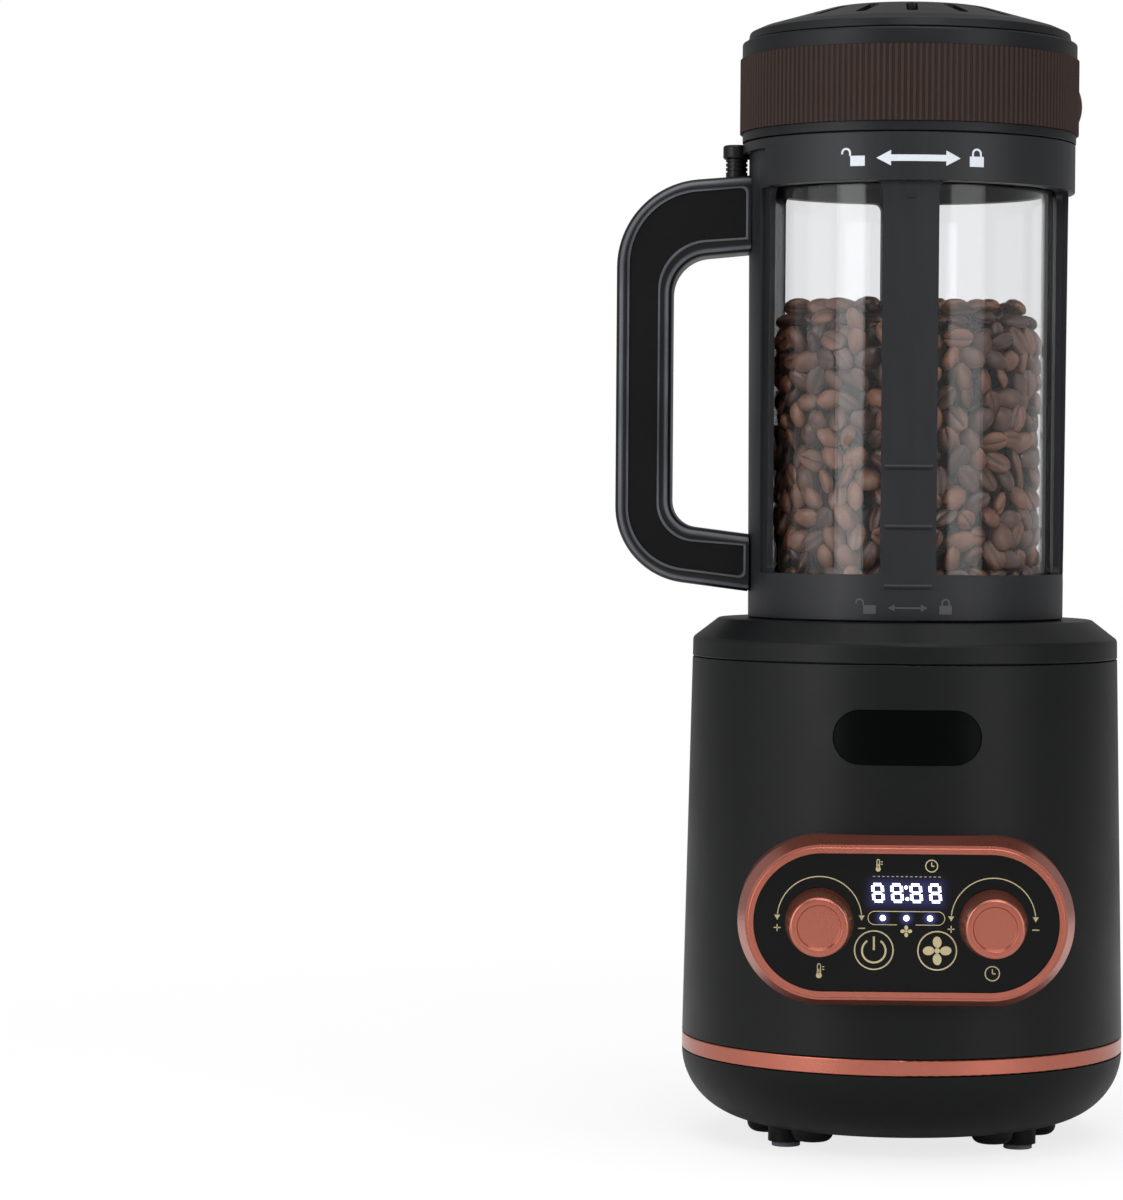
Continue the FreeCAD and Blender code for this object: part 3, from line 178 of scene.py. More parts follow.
class Finish:
    """One material under construction."""

    def __init__(self, name):
        self.material = bpy.data.materials.new(name)
        self.material.use_nodes = True
        self.tree = self.material.node_tree
        self.tree.nodes.clear()
        self.place = self.node("ShaderNodeTexCoord", out="Object")

    def node(self, kind, settings=None, inputs=None, out=0):
        made = self.tree.nodes.new(kind)
        for key, value in (settings or {}).items():
            setattr(made, key, value)
        for key, value in (inputs or {}).items():
            if isinstance(value, Wire):
                self.tree.links.new(value.socket, made.inputs[key])
            else:
                made.inputs[key].default_value = value
        return Wire(self, made.outputs[out])

    def maths(self, operation, *operands):
        return self.node("ShaderNodeMath", {"operation": operation}, dict(enumerate(operands)))

    def noise(self, scale, detail=2.0, place=None, roughness=0.5):
        inputs = {"Vector": place or self.place, "Scale": scale, "Detail": detail, "Roughness": roughness}
        return self.node("ShaderNodeTexNoise", None, inputs)

    def cells(self, scale):
        inputs = {"Vector": self.place, "Scale": scale}
        return self.node("ShaderNodeTexVoronoi", {"feature": "F1"}, inputs, "Distance")

    def stretched(self, x, y, z):
        return self.node("ShaderNodeMapping", None, {"Vector": self.place, "Scale": (x, y, z)})

    def axes(self):
        """The place along X, Y and Z, in metres."""
        return [self.node("ShaderNodeSeparateXYZ", None, {0: self.place}, i) for i in range(3)]

    def spread(self, value, low, high, to_low, to_high):
        inputs = {0: value, 1: low, 2: high, 3: to_low, 4: to_high}
        return self.node("ShaderNodeMapRange", {"clamp": True}, inputs)

    def tint(self, factor, first, second):
        inputs = {0: factor, 6: first, 7: second}
        return self.node("ShaderNodeMix", {"data_type": "RGBA", "clamp_factor": True}, inputs, 2)

    def bump(self, height, depth, strength=1.0, under=None):
        inputs = {"Height": height, "Distance": depth, "Strength": strength}
        if under:
            inputs["Normal"] = under
        return self.node("ShaderNodeBump", None, inputs)

    def shade(self, inputs):
        shader = self.node("ShaderNodeBsdfPrincipled", None, inputs)
        self.to_surface(shader)
        return self.material

    def to_surface(self, shader):
        out = self.tree.nodes.new("ShaderNodeOutputMaterial")
        self.tree.links.new(shader.socket, out.inputs["Surface"])


def rgb(red, green, blue):
    """A colour given as a picture shows it, 0 to 255."""
    shares = [value / 255 for value in (red, green, blue)]
    return tuple(v / 12.92 if v <= 0.04045 else ((v + 0.055) / 1.055) ** 2.4 for v in shares) + (1.0,)


def shifted(colour, factor):
    return tuple(min(1.0, value * factor) for value in colour[:3]) + (1.0,)


def moulded_plastic(name, colour, roughness, specular=0.3, grain=0.00004, grain_scale=2600.0):
    """Moulded plastic with a fine spark grain, faint flow marks and a little dust."""
    made = Finish(name)
    patches = made.noise(38.0, 3.0)
    flow = made.noise(9.0, 2.0, made.stretched(1.0, 1.0, 3.0))
    sparks = made.noise(grain_scale, 1.0)
    base = made.tint(patches * 0.6 + flow * 0.4, shifted(colour, 0.82), shifted(colour, 1.18))
    dull = made.spread(patches * 0.5 + flow * 0.5, 0.3, 0.7, roughness - 0.05, roughness + 0.06)
    return made.shade({
        "Base Color": base, "Roughness": dull, "Specular IOR Level": specular,
        "Normal": made.bump(sparks, grain, 0.5),
    })


def satin_copper(name, colour):
    """Copper-coloured metallic lacquer over a smooth moulding."""
    made = Finish(name)
    flakes = made.cells(2400.0)
    broad = made.noise(30.0, 2.0)
    base = made.tint(flakes * 0.5 + broad * 0.5, shifted(colour, 0.92), shifted(colour, 1.1))
    dull = made.spread(broad + flakes * 0.3, 0.3, 0.9, 0.25, 0.32)
    return made.shade({
        "Base Color": base, "Metallic": 0.85, "Roughness": dull, "Specular IOR Level": 0.4,
        "Coat Weight": 0.2, "Coat Roughness": 0.2, "Normal": made.bump(flakes, 0.00001, 0.15),
    })


def handle_plastic(name, colour):
    """Moulded plastic with a painted highlight: a lighter, slightly glossier band at the depth of the step
    round the inlay.
    """
    made = Finish(name)
    _, y, _ = made.axes()
    patches = made.noise(38.0, 3.0)
    # Painted highlight: a thin band at the step's depth, lighter in colour, stands for light caught along
    # the edges.
    edge_highlight_band = made.spread(abs(abs(y) - HANDLE_STEP_Y * MM), 0.0002, 0.0005, 1.0, 0.0)
    painted_edge_highlight = edge_highlight_band * made.spread(patches, 0.3, 0.6, 0.45, 1.0)
    plain = made.tint(patches, shifted(colour, 0.82), shifted(colour, 1.18))
    return made.shade({
        "Base Color": made.tint(painted_edge_highlight, plain, rgb(86, 88, 94)),
        "Roughness": made.spread(patches - painted_edge_highlight * 0.2, 0.1, 0.7, 0.24, 0.42), "Specular IOR Level": 0.2,
        "Normal": made.bump(made.noise(2000.0, 1.0), 0.00006, 0.5),
    })


def by_level_lines(made, z, rise, full, gone):
    """A mask that is 1 in a thin band beside each level line, a little above or below it."""
    mask = 0.0
    for line_z in LEVEL_LINES_Z:
        mask = made.spread(abs(z - (line_z + rise) * MM), full, gone, 1.0, 0.0) + mask
    return mask


def cage_plastic(name, colour):
    """Satin filled plastic with faint upright draw marks, and light and shade along its level lines."""
    made = Finish(name)
    x, y, z = made.axes()
    beside = (abs(x) - LEVEL_LINE_HALF * MM).above(0.0)
    front = (1.0 - beside) * (0.0 - y).above(0.04)
    light = by_level_lines(made, z, 0.45, 0.0001, 0.0004)
    shade = by_level_lines(made, z, -0.65, 0.0002, 0.0006)
    draw = made.noise(60.0, 3.0, made.stretched(6.0, 6.0, 0.4))
    cloud = made.noise(26.0, 4.0)
    grain = made.noise(1900.0, 1.0)
    plain = made.tint(draw * 0.5 + cloud * 0.5, shifted(colour, 0.75), shifted(colour, 1.3))
    shaded = made.tint(shade * front * 0.85, plain, shifted(colour, 0.1))
    base = made.tint(light * front * 0.3, shaded, rgb(92, 94, 99))
    dull = made.spread(draw * 0.4 + cloud * 0.6, 0.3, 0.7, 0.36, 0.5)
    return made.shade({
        "Base Color": base, "Roughness": dull, "Specular IOR Level": 0.26,
        "Normal": made.bump(grain, 0.00005, 0.5, made.bump(draw, 0.00012, 0.4)),
    })


def ribbed_rubber(name, colour):
    """Soft-touch brown rubber, lighter on the crests, with painted shade darkening the valleys between the
    ribs.
    """
    made = Finish(name)
    x, y, _ = made.axes()
    radius = (x * x + y * y) ** 0.5
    crest = made.spread(radius, RIB_VALLEY_R * MM, RIB_CREST_R * MM, 0.0, 1.0)
    cloud = made.noise(45.0, 3.0)
    # Painted shade: the valleys between the ribs take a much darker copy of the colour than the crests.
    low = made.tint(cloud, shifted(colour, 0.42), shifted(colour, 0.55))
    high = made.tint(cloud, shifted(colour, 0.95), shifted(colour, 1.35))
    return made.shade({
        "Base Color": made.tint(crest, low, high),
        "Roughness": made.spread(cloud, 0.3, 0.7, 0.56, 0.7), "Specular IOR Level": 0.2,
        "Normal": made.bump(made.noise(1500.0, 2.0), 0.00006, 0.6),
    })


def foot_rubber(name, colour):
    """Matte grey rubber, scuffed all over."""
    made = Finish(name)
    wear = made.noise(420.0, 4.0)
    base = made.tint(wear, shifted(colour, 0.7), shifted(colour, 1.3))
    return made.shade({
        "Base Color": base, "Roughness": made.spread(wear, 0.3, 0.7, 0.62, 0.8),
        "Specular IOR Level": 0.3, "Normal": made.bump(wear, 0.00008, 0.7),
    })


def clear_silicone(name, colour):
    """Milky silicone with a soft haze."""
    made = Finish(name)
    haze = made.noise(90.0, 3.0)
    base = made.tint(haze, shifted(colour, 0.85), colour)
    return made.shade({
        "Base Color": base, "Roughness": made.spread(haze, 0.3, 0.7, 0.35, 0.5),
        "Subsurface Weight": 0.2, "Normal": made.bump(haze, 0.0001, 0.3),
    })


def turned_steel(name, colour, roughness=0.3):
    """Steel with fine marks running round the axis of the part."""
    made = Finish(name)
    marks = made.noise(55.0, 4.0, made.stretched(1.0, 1.0, 70.0))
    stain = made.noise(40.0, 2.0)
    base = made.tint(marks * 0.6 + stain * 0.4, shifted(colour, 0.72), shifted(colour, 1.15))
    dull = made.spread(marks, 0.3, 0.7, roughness - 0.07, roughness + 0.12)
    return made.shade({
        "Base Color": base, "Metallic": 1.0, "Roughness": dull, "Normal": made.bump(marks, 0.00004, 0.4),
    })


def mica_sheet(name, colour):
    """Pressed mica, scaly and half shiny."""
    made = Finish(name)
    scales = made.cells(220.0)
    base = made.tint(scales, shifted(colour, 0.7), shifted(colour, 1.2))
    return made.shade({
        "Base Color": base, "Roughness": made.spread(scales, 0.0, 0.6, 0.3, 0.6),
        "Normal": made.bump(scales, 0.0001, 0.4),
    })


def circuit_board(name):
    """Green lacquer with paler copper tracks under it."""
    made = Finish(name)
    x, _, _ = made.axes()
    tracks = (x * 2400.0).sine().above(0.55) * made.noise(140.0, 1.0).above(0.5)
    base = made.tint(tracks, rgb(18, 70, 40), rgb(46, 118, 70))
    return made.shade({
        "Base Color": base, "Roughness": made.spread(made.noise(70.0), 0.3, 0.7, 0.3, 0.42),
        "Coat Weight": 0.3, "Normal": made.bump(tracks, 0.00004, 0.5),
    })


def jug_glass(name):
    """Clear borosilicate with the faintest waviness and a film of coffee dust low down."""
    made = Finish(name)
    _, _, z = made.axes()
    wave = made.noise(18.0, 1.0, made.stretched(1.0, 1.0, 0.25))
    film = made.noise(130.0, 4.0).above(0.74) * made.spread(z, 0.19, 0.29, 0.10, 0.0)
    return made.shade({
        "Base Color": made.tint(film, (0.87, 0.875, 0.885, 1.0), rgb(180, 160, 140)),
        "Roughness": made.spread(film, 0.0, 0.1, 0.0, 0.12), "IOR": 1.3, "Transmission Weight": 1.0,
        "Normal": made.bump(wave, 0.00003, 0.3),
    })


def panel_black(name):
    """Black glass with the lit display's glow spreading a little way under it."""
    made = Finish(name)
    x, _, z = made.axes()
    out_x = (abs(x) - FIELD_HALF_W * MM).most(0.0)
    out_z = (abs(z - DISPLAY_Z * MM) - FIELD_HALF_H * MM).most(0.0)
    away = (out_x * out_x + out_z * out_z) ** 0.5
    display = (1.0 - away / (FIELD_GLOW_REACH * MM)).most(0.0) ** 2.0
    glow = display * 0.12
    for dot_x in DOTS_X:
        gap_x = x - dot_x * MM
        gap_z = z - DOTS_Z * MM
        near = (gap_x * gap_x + gap_z * gap_z) ** 0.5
        glow = glow + (1.0 - near / (LIGHT_GLOW_REACH * MM)).most(0.0) ** 2.0 * 0.5
    lit = made.tint(glow.least(1.0), (0.0, 0.0, 0.0, 1.0), (0.2, 0.2, 0.8, 1.0))
    smear = made.noise(60.0, 4.0)
    return made.shade({
        "Base Color": made.tint(smear, (0.0008, 0.0008, 0.001, 1.0), (0.002, 0.002, 0.0024, 1.0)),
        "Roughness": made.spread(smear, 0.45, 0.8, 0.05, 0.14), "Specular IOR Level": 0.12,
        "Emission Color": lit, "Emission Strength": 1.0,
    })


def lit_print(name, colour, strength):
    """Light shining through the panel's mask, a little uneven."""
    made = Finish(name)
    uneven = made.noise(600.0, 1.0)
    lit = made.tint(uneven, shifted(colour, 0.88), colour)
    return made.shade({
        "Base Color": lit, "Roughness": 0.5, "Emission Color": lit, "Emission Strength": strength,
    })


def screen_print(name, colour):
    """Ink laid on by screen, with its slight speckle."""
    made = Finish(name)
    speckle = made.noise(1800.0, 2.0)
    base = made.tint(speckle, shifted(colour, 0.8), shifted(colour, 1.1))
    return made.shade({
        "Base Color": base, "Roughness": made.spread(speckle, 0.3, 0.7, 0.4, 0.6),
        "Normal": made.bump(speckle, 0.00002, 0.4),
    })


def roasted_bean(name):
    """Roasted bean: brown skin mottled from bean to bean, with painted shade in the crease and on the beans
    lying deeper in the heap, away from the glass.
    """
    made = Finish(name)
    x, y, z = made.axes()
    tone = made.node("ShaderNodeAttribute", {"attribute_name": "tone"}, None, "Fac")
    mottle = made.noise(420.0, 4.0)
    wrinkle = made.noise(1300.0, 3.0)
    crease_shade = made.node("ShaderNodeAttribute", {"attribute_name": "crease_shade"}, None, "Fac")
    dark = made.tint(mottle, rgb(42, 22, 13), rgb(70, 39, 25))
    light = made.tint(mottle, rgb(94, 56, 37), rgb(140, 89, 61))
    skin = made.tint(tone, dark, light)
    # Painted shade in each bean's crease: the crease's points are darkened towards almost black.
    crease_shaded = made.tint(made.spread(crease_shade, 0.35, 0.85, 0.0, 1.0), skin, rgb(24, 12, 8))
    # Painted shade: beans further in from the glass and below the top of the heap are darkened, standing
    # for the shade between them.
    painted_shade_deep = made.spread((x * x + y * y) ** 0.5, 0.0375, 0.0445, 1.0, 0.0)
    under = made.spread(z, (BEAN_TOP_Z - 8.0) * MM, (BEAN_TOP_Z - 2.0) * MM, 1.0, 0.0)
    base = made.tint(painted_shade_deep * under * 0.9, crease_shaded, rgb(14, 8, 5))
    return made.shade({
        "Base Color": base, "Roughness": made.spread(mottle, 0.3, 0.7, 0.3, 0.46),
        "Coat Weight": made.spread(wrinkle, 0.4, 0.7, 0.1, 0.4), "Coat Roughness": 0.2,
        "Specular IOR Level": 0.3,
        "Normal": made.bump(wrinkle, 0.00012, 0.6),
    })


def shade_core_finish(name):
    """The heap's unseen core: a dark body of painted shade, as dark as the gaps between beans."""
    made = Finish(name)
    shade_lumps = made.cells(260.0)
    # Painted shade: near-black browns for the body that fills the heap's unseen middle.
    base = made.tint(shade_lumps, rgb(20, 12, 9), rgb(50, 31, 23))
    return made.shade({"Base Color": base, "Roughness": 0.8, "Normal": made.bump(shade_lumps, 0.0006, 0.8)})


SHELL = moulded_plastic("shell_black", rgb(11, 12, 13), 0.4, 0.15)
PAN = moulded_plastic("pan_black", rgb(13, 14, 15), 0.46, 0.11)
HANDLE = handle_plastic("handle_black", rgb(12, 13, 14))
INLAY = moulded_plastic("inlay_black", rgb(9, 9, 10), 0.5, 0.1, 0.0001, 1500.0)
LID = moulded_plastic("lid_black", rgb(20, 21, 23), 0.42, 0.18)
BADGE = moulded_plastic("badge_black", rgb(2, 3, 3), 0.25, 0.04)
GLOSS = moulded_plastic("gloss_black", rgb(14, 14, 15), 0.3, 0.16, 0.00002)
CAGE = cage_plastic("cage_graphite", rgb(25, 26, 29))
COPPER = satin_copper("copper_lacquer", rgb(164, 93, 77))
BROWN = ribbed_rubber("brown_rubber", rgb(44, 30, 25))
PAD = foot_rubber("pad_grey", rgb(88, 90, 96))
SILICONE = clear_silicone("silicone_milky", rgb(205, 205, 198))
STEEL = turned_steel("steel_turned", (0.55, 0.55, 0.56, 1.0))
SCREW = turned_steel("screw_zinc", (0.48, 0.49, 0.52, 1.0), 0.24)
WIRE = turned_steel("heating_wire", (0.26, 0.24, 0.23, 1.0), 0.5)
MICA = mica_sheet("mica", rgb(196, 182, 150))
BOARD = circuit_board("board_green")
NYLON = moulded_plastic("nylon_white", rgb(205, 204, 198), 0.45, 0.4)
FAN_GREY = moulded_plastic("fan_grey", rgb(104, 106, 110), 0.5, 0.4)
JUG = jug_glass("jug_clear")
PANEL = panel_black("panel_black")
LAMP = moulded_plastic("lamp_body", rgb(225, 230, 240), 0.3, 0.4)
DIGIT = lit_print("digit_light", (0.86, 0.88, 1.0, 1.0), 2.6)
GOLD = screen_print("gold_print", rgb(178, 166, 128))
WHITE = screen_print("white_print", rgb(196, 202, 210))
FAINT = moulded_plastic("raised_mark", rgb(58, 59, 63), 0.4, 0.4)
BEAN = roasted_bean("roasted_bean")
CORE_SHADE = shade_core_finish("shade_core")

WEARS = {
    SHELL: ["main_housing", "top_cover", "socket_ring", "panel_tray", "cord_gland"],
    PAN: ["base_pan"],
    HANDLE: ["handle_front", "handle_rear", "lid_button", "glass_retainer"],
    INLAY: ["handle_inlays"],
    LID: ["lock_ring", "vent_cap"],
    BADGE: ["badge_plate"],
    GLOSS: ["cap_disc"],
    CAGE: ["jug_cage", "seat_ring", "chaff_cup", "chimney_cap"],
    COPPER: ["copper_band", "panel_bezel", "temp_knob", "time_knob"],
    BROWN: ["grip_ring"],
    PAD: ["foot_pads"],
    SILICONE: ["seat_gasket", "lower_glass_seal", "upper_glass_seal", "lid_seal"],
    STEEL: ["intake_mesh", "temp_encoder", "time_encoder", "temp_shaft", "time_shaft", "fan_motor",
            "motor_shaft", "heater_tube", "heat_cutout", "air_probe", "air_plate", "chaff_screen"],
    SCREW: ["base_screws", "motor_screws", "duct_screws", "handle_screws", "touch_springs",
            "button_spring"],
    WIRE: ["heater_coil"],
    MICA: ["heater_former"],
    BOARD: ["control_board", "power_board"],
    NYLON: ["power_parts"],
    FAN_GREY: ["fan_deck", "deck_posts", "impeller", "blower_duct"],
    JUG: ["glass_cylinder"],
    PANEL: ["panel_glass"],
    LAMP: ["display_module", "indicator_lamps"],
}


def dress_nodes():
    """Gives every node of the construction its material."""
    for material, names in WEARS.items():
        for name in names:
            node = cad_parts[name]
            node.data.materials.clear()
            node.data.materials.append(material)


# Modelling by hand
def fresh():
    """Leaves edit mode and selects nothing."""
    if bpy.context.object and bpy.context.object.mode != "OBJECT":
        bpy.ops.object.mode_set(mode="OBJECT")
    bpy.ops.object.select_all(action="DESELECT")


def settle(piece):
    """Puts the piece's place, turn and size into its mesh."""
    fresh()
    piece.select_set(True)
    bpy.context.view_layer.objects.active = piece
    bpy.ops.object.transform_apply(location=True, rotation=True, scale=True)
    return piece


def merge(pieces):
    """Several pieces made into one object."""
    fresh()
    for piece in pieces:
        piece.select_set(True)
    bpy.context.view_layer.objects.active = pieces[0]
    if len(pieces) > 1:
        bpy.ops.object.join()
    return bpy.context.object


def outward(piece):
    """Merges doubles and points every face outwards."""
    fresh()
    piece.select_set(True)
    bpy.context.view_layer.objects.active = piece
    bpy.ops.object.mode_set(mode="EDIT")
    bpy.ops.mesh.select_all(action="SELECT")
    bpy.ops.mesh.remove_doubles(threshold=1e-6)
    bpy.ops.mesh.normals_make_consistent(inside=False)
    bpy.ops.object.mode_set(mode="OBJECT")
    return piece


def finished(piece, name, material, body, smooth=30.0):
    fresh()
    piece.name = name
    piece.data.name = name
    piece.data.materials.clear()
    piece.data.materials.append(material)
    piece.select_set(True)
    bpy.context.view_layer.objects.active = piece
    if smooth:
        bpy.ops.object.shade_smooth_by_angle(angle=math.radians(smooth))
    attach(piece, body)
    return piece


def on_panel(x, z):
    """The middle of a print's thickness at a point of the panel's face."""
    return (x * MM, (GLASS_Y - PRINT_T / 2) * MM, z * MM)


def bar(x, z, width, height):
    """A flat upright bar on the panel's face."""
    fresh()
    bpy.ops.mesh.primitive_cube_add(size=1.0, location=on_panel(x, z))
    piece = bpy.context.object
    piece.scale = (width * MM, PRINT_T * MM, height * MM)
    return settle(piece)


def disc(x, z, radius, sides=32, turn=0.0):
    """A flat round or many-sided spot on the panel's face; three sides point up."""
    fresh()
    bpy.ops.mesh.primitive_cylinder_add(
        vertices=sides, radius=radius * MM, depth=PRINT_T * MM, location=on_panel(x, z),
        rotation=(math.radians(90), 0.0, 0.0),
    )
    piece = settle(bpy.context.object)
    if turn:
        spin_round(piece, x, z, turn)
    return piece


def spin_round(piece, x, z, turn):
    """Turns a finished flat piece about a point of the panel's face, clockwise as seen from the front."""
    centre = Vector((x * MM, 0.0, z * MM))
    turned = Matrix.Rotation(math.radians(turn), 4, "Y")
    piece.data.transform(Matrix.Translation(centre) @ turned @ Matrix.Translation(-centre))
    return piece


def arc(x, z, radius, width, start, sweep):
    """A flat curved line: a small square spun about the arc's centre. Angles are clockwise from the top."""
    begin = math.radians(start)
    place = on_panel(x + radius * math.sin(begin), z + radius * math.cos(begin))
    fresh()
    bpy.ops.mesh.primitive_plane_add(size=1.0, location=place)
    piece = bpy.context.object
    piece.scale = (width * MM, PRINT_T * MM, 1.0)
    piece.rotation_euler = (0.0, begin - math.radians(90), 0.0)
    settle(piece)
    bpy.ops.object.mode_set(mode="EDIT")
    bpy.ops.mesh.select_all(action="SELECT")
    steps = max(6, int(abs(sweep) / 6))
    bpy.ops.mesh.spin(steps=steps, angle=-math.radians(sweep), center=on_panel(x, z), axis=(0, 1, 0))
    bpy.ops.object.mode_set(mode="OBJECT")
    return outward(piece)


def lit_segment(x, z, length, width, turn):
    """One stroke of a lit digit: a bar with pointed ends."""
    piece = bar(0.0, 0.0, length - width, width)
    bpy.ops.object.mode_set(mode="EDIT")
    for side in (-1, 1):
        bpy.ops.mesh.select_all(action="DESELECT")
        net = bmesh.from_edit_mesh(piece.data)
        for face in net.faces:
            face.select = face.normal.x * side > 0.9
        bmesh.update_edit_mesh(piece.data)
        bpy.ops.mesh.extrude_region_move(TRANSFORM_OT_translate={"value": (side * width / 2 * MM, 0, 0)})
        bpy.ops.transform.resize(value=(1.0, 1.0, 0.12))
    bpy.ops.object.mode_set(mode="OBJECT")
    spin_round(piece, 0.0, 0.0, turn)
    piece.data.transform(Matrix.Translation((x * MM, 0.0, z * MM)))
    return piece


def lit_digit(x, z, width, height):
    """All seven strokes of one digit, leaning as the display's digits do."""
    stroke = DIGIT_STROKE
    half = height / 2
    across = width - stroke * 0.5
    upright = half - stroke * 0.3
    strokes = []
    for row in (-1, 0, 1):
        strokes.append(lit_segment(x, z + row * (half - stroke / 2), across, stroke, 0.0))
    for side in (-1, 1):
        for row in (-1, 1):
            centre = z + row * (half - stroke / 2) / 2
            strokes.append(lit_segment(x + side * (width - stroke) / 2, centre, upright, stroke, 90.0))
    digit = merge(strokes)
    lean = Matrix.Identity(4)
    lean[0][2] = DIGIT_LEAN
    centre = Vector((0.0, 0.0, z * MM))
    digit.data.transform(Matrix.Translation(centre) @ lean @ Matrix.Translation(-centre))
    return digit


def make_display():
    digits = [lit_digit(x, DISPLAY_Z, DIGIT_W, DIGIT_H) for x in DIGITS_X]
    colon = [disc(x, DISPLAY_Z + rise, COLON_R, 12) for x, rise in COLON_DOTS]
    finished(merge(digits + colon), "display_digits", DIGIT, "base", 0)
    dots = [disc(x, DOTS_Z, DOT_R, 20) for x in DOTS_X]
    finished(merge(dots), "panel_dots", DIGIT, "base", 0)


def dial_arc(x):
    """The half-round scale over a knob, with an arrowhead at each end and its plus and minus."""
    sign_z = KNOB_Z - 1.9
    sign_size = 2.2
    parts = [arc(x, KNOB_Z + 1.1, DIAL_R, 0.32, -84, 168)]
    for side in (-1, 1):
        parts.append(disc(x + side * DIAL_R, KNOB_Z + 1.7, 1.1, 3, 180.0))
        parts.append(bar(x + side * DIAL_R, sign_z, sign_size, SIGN_LINE))
    parts.append(bar(x - DIAL_R, sign_z, SIGN_LINE, sign_size))
    return parts


def clock_icon(x, z, radius):
    """A small clock face with its two hands."""
    return [
        arc(x, z, radius, SIGN_LINE, 0, 360),
        bar(x, z + radius * 0.3, SIGN_LINE, radius * 0.65),
        bar(x + radius * 0.22, z - 0.05, radius * 0.5, SIGN_LINE),
    ]


def heat_icon(x, z, height):
    """A small thermometer: bulb, tube with its filling, and two ticks."""
    tube = height * 0.1
    line = 0.3
    parts = [
        disc(x, z - height * 0.3, height * 0.19, 20),
        arc(x, z + height * 0.34, tube, line, -90, 180),
        bar(x - tube, z + tube, line, height * 0.52),
        bar(x + tube, z + tube, line, height * 0.52),
        bar(x, z - height * 0.06, line, height * 0.34),
    ]
    for rise in (0.26, 0.08):
        parts.append(bar(x + height * 0.27, z + height * rise, height * 0.14, 0.28))
    return parts


def fan_blades(x, z, reach, hub):
    """Four rounded blades set skew round a hub."""
    half_width = reach * 0.31
    half_length = reach * 0.4
    skew = 6.0
    blades = [disc(x, z, hub, 16)]
    for i in range(4):
        blade = disc(0.0, 0.0, 1.0, 20)
        blade.data.transform(Matrix.Diagonal((half_width, 1.0, half_length, 1.0)))
        blade.data.transform(Matrix.Translation((reach * 0.06 * MM, 0.0, reach * 0.6 * MM)))
        spin_round(blade, 0.0, 0.0, 90.0 * i - skew)
        blade.data.transform(Matrix.Translation((x * MM, 0.0, z * MM)))
        blades.append(blade)
    return blades


def key_signs():
    """The two touch keys: a ring each, with the power sign in one and a fan in the other."""
    stroke = 0.62
    signs = [arc(x, KEY_Z, KEY_R, 0.42, 0, 360) for x in (KEY_POWER_X, KEY_FAN_X)]
    signs.append(arc(KEY_POWER_X, KEY_Z - 0.2, 3.8, stroke, 34, 292))
    signs.append(bar(KEY_POWER_X, KEY_Z + 2.2, stroke, 4.4))
    return signs + fan_blades(KEY_FAN_X, KEY_Z, 4.6, 0.9)


def dots_frame():
    """The long round-ended frame of the three lights, open below its middle."""
    lines = []
    for side in (-1, 1):
        start = 0 if side > 0 else 180
        lines.append(arc(side * DOTS_FRAME_X, DOTS_Z, DOTS_FRAME_R, FRAME_LINE, start, 180))
        lines.append(bar(side * 6.6, DOTS_Z - DOTS_FRAME_R, 7.2, FRAME_LINE))
    lines.append(bar(0.0, DOTS_Z + DOTS_FRAME_R, 2 * DOTS_FRAME_X, FRAME_LINE))
    return lines


def make_panel_print():
    marks = dial_arc(-KNOB_X) + dial_arc(KNOB_X) + key_signs()
    marks += fan_blades(0.0, DOTS_Z - 4.2, 1.9, 0.35)
    for x, z, radius in CLOCKS:
        marks += clock_icon(x, z, radius)
    for x, z, height in THERMOMETERS:
        marks += heat_icon(x, z, height)
    marks += dots_frame()
    for i in range(DASHES):
        dash_x = DASH_PITCH * (i - (DASHES - 1) / 2)
        marks.append(bar(dash_x, DISPLAY_Z + DASHES_RISE, 0.75, 0.2))
    finished(merge(marks), "panel_print", GOLD, "base", 0)


def padlock(x, z, is_open, tall):
    """A little padlock; an open one has its shackle swung to the left, with its free leg short."""
    swing = -tall * 0.74 if is_open else 0.0
    free_rise, free_leg = (0.22, 0.08) if is_open else (0.16, 0.2)
    base = z + tall * 0.02
    bow = tall * 0.26
    line = tall * 0.12
    return [
        bar(x, z - tall * 0.22, tall * 0.92, tall * 0.62),
        arc(x + swing, base + tall * 0.24, bow, line, -90, 180),
        bar(x + swing + bow, base + tall * 0.16, line, tall * 0.2),
        bar(x + swing - bow, base + tall * free_rise, line, tall * free_leg),
    ]


def double_arrow(x, z, length, shaft, head):
    """A shaft with an arrowhead at each end."""
    parts = [bar(x, z, length - head * 1.6, shaft)]
    for side in (-1, 1):
        tip = disc(0.0, 0.0, 1.0, 3)
        tip.data.transform(Matrix.Diagonal((head * 0.56, 1.0, head * 0.62, 1.0)))
        spin_round(tip, 0.0, 0.0, 90.0 * side)
        tip.data.transform(Matrix.Translation(((x + side * (length / 2 - head * 0.6)) * MM, 0.0, z * MM)))
        parts.append(tip)
    return parts


def wrap_round(piece, radius):
    """Lays a flat print round the cage: across the face becomes round the axis at that radius."""
    fresh()
    piece.select_set(True)
    bpy.context.view_layer.objects.active = piece
    bpy.ops.object.mode_set(mode="EDIT")
    bpy.ops.mesh.select_all(action="SELECT")
    bpy.ops.mesh.subdivide(number_cuts=5)
    bpy.ops.object.mode_set(mode="OBJECT")
    for vertex in piece.data.vertices:
        depth = radius + GLASS_Y * MM - vertex.co.y
        angle = vertex.co.x / radius
        vertex.co.x = depth * math.sin(angle)
        vertex.co.y = -depth * math.cos(angle)
    return piece


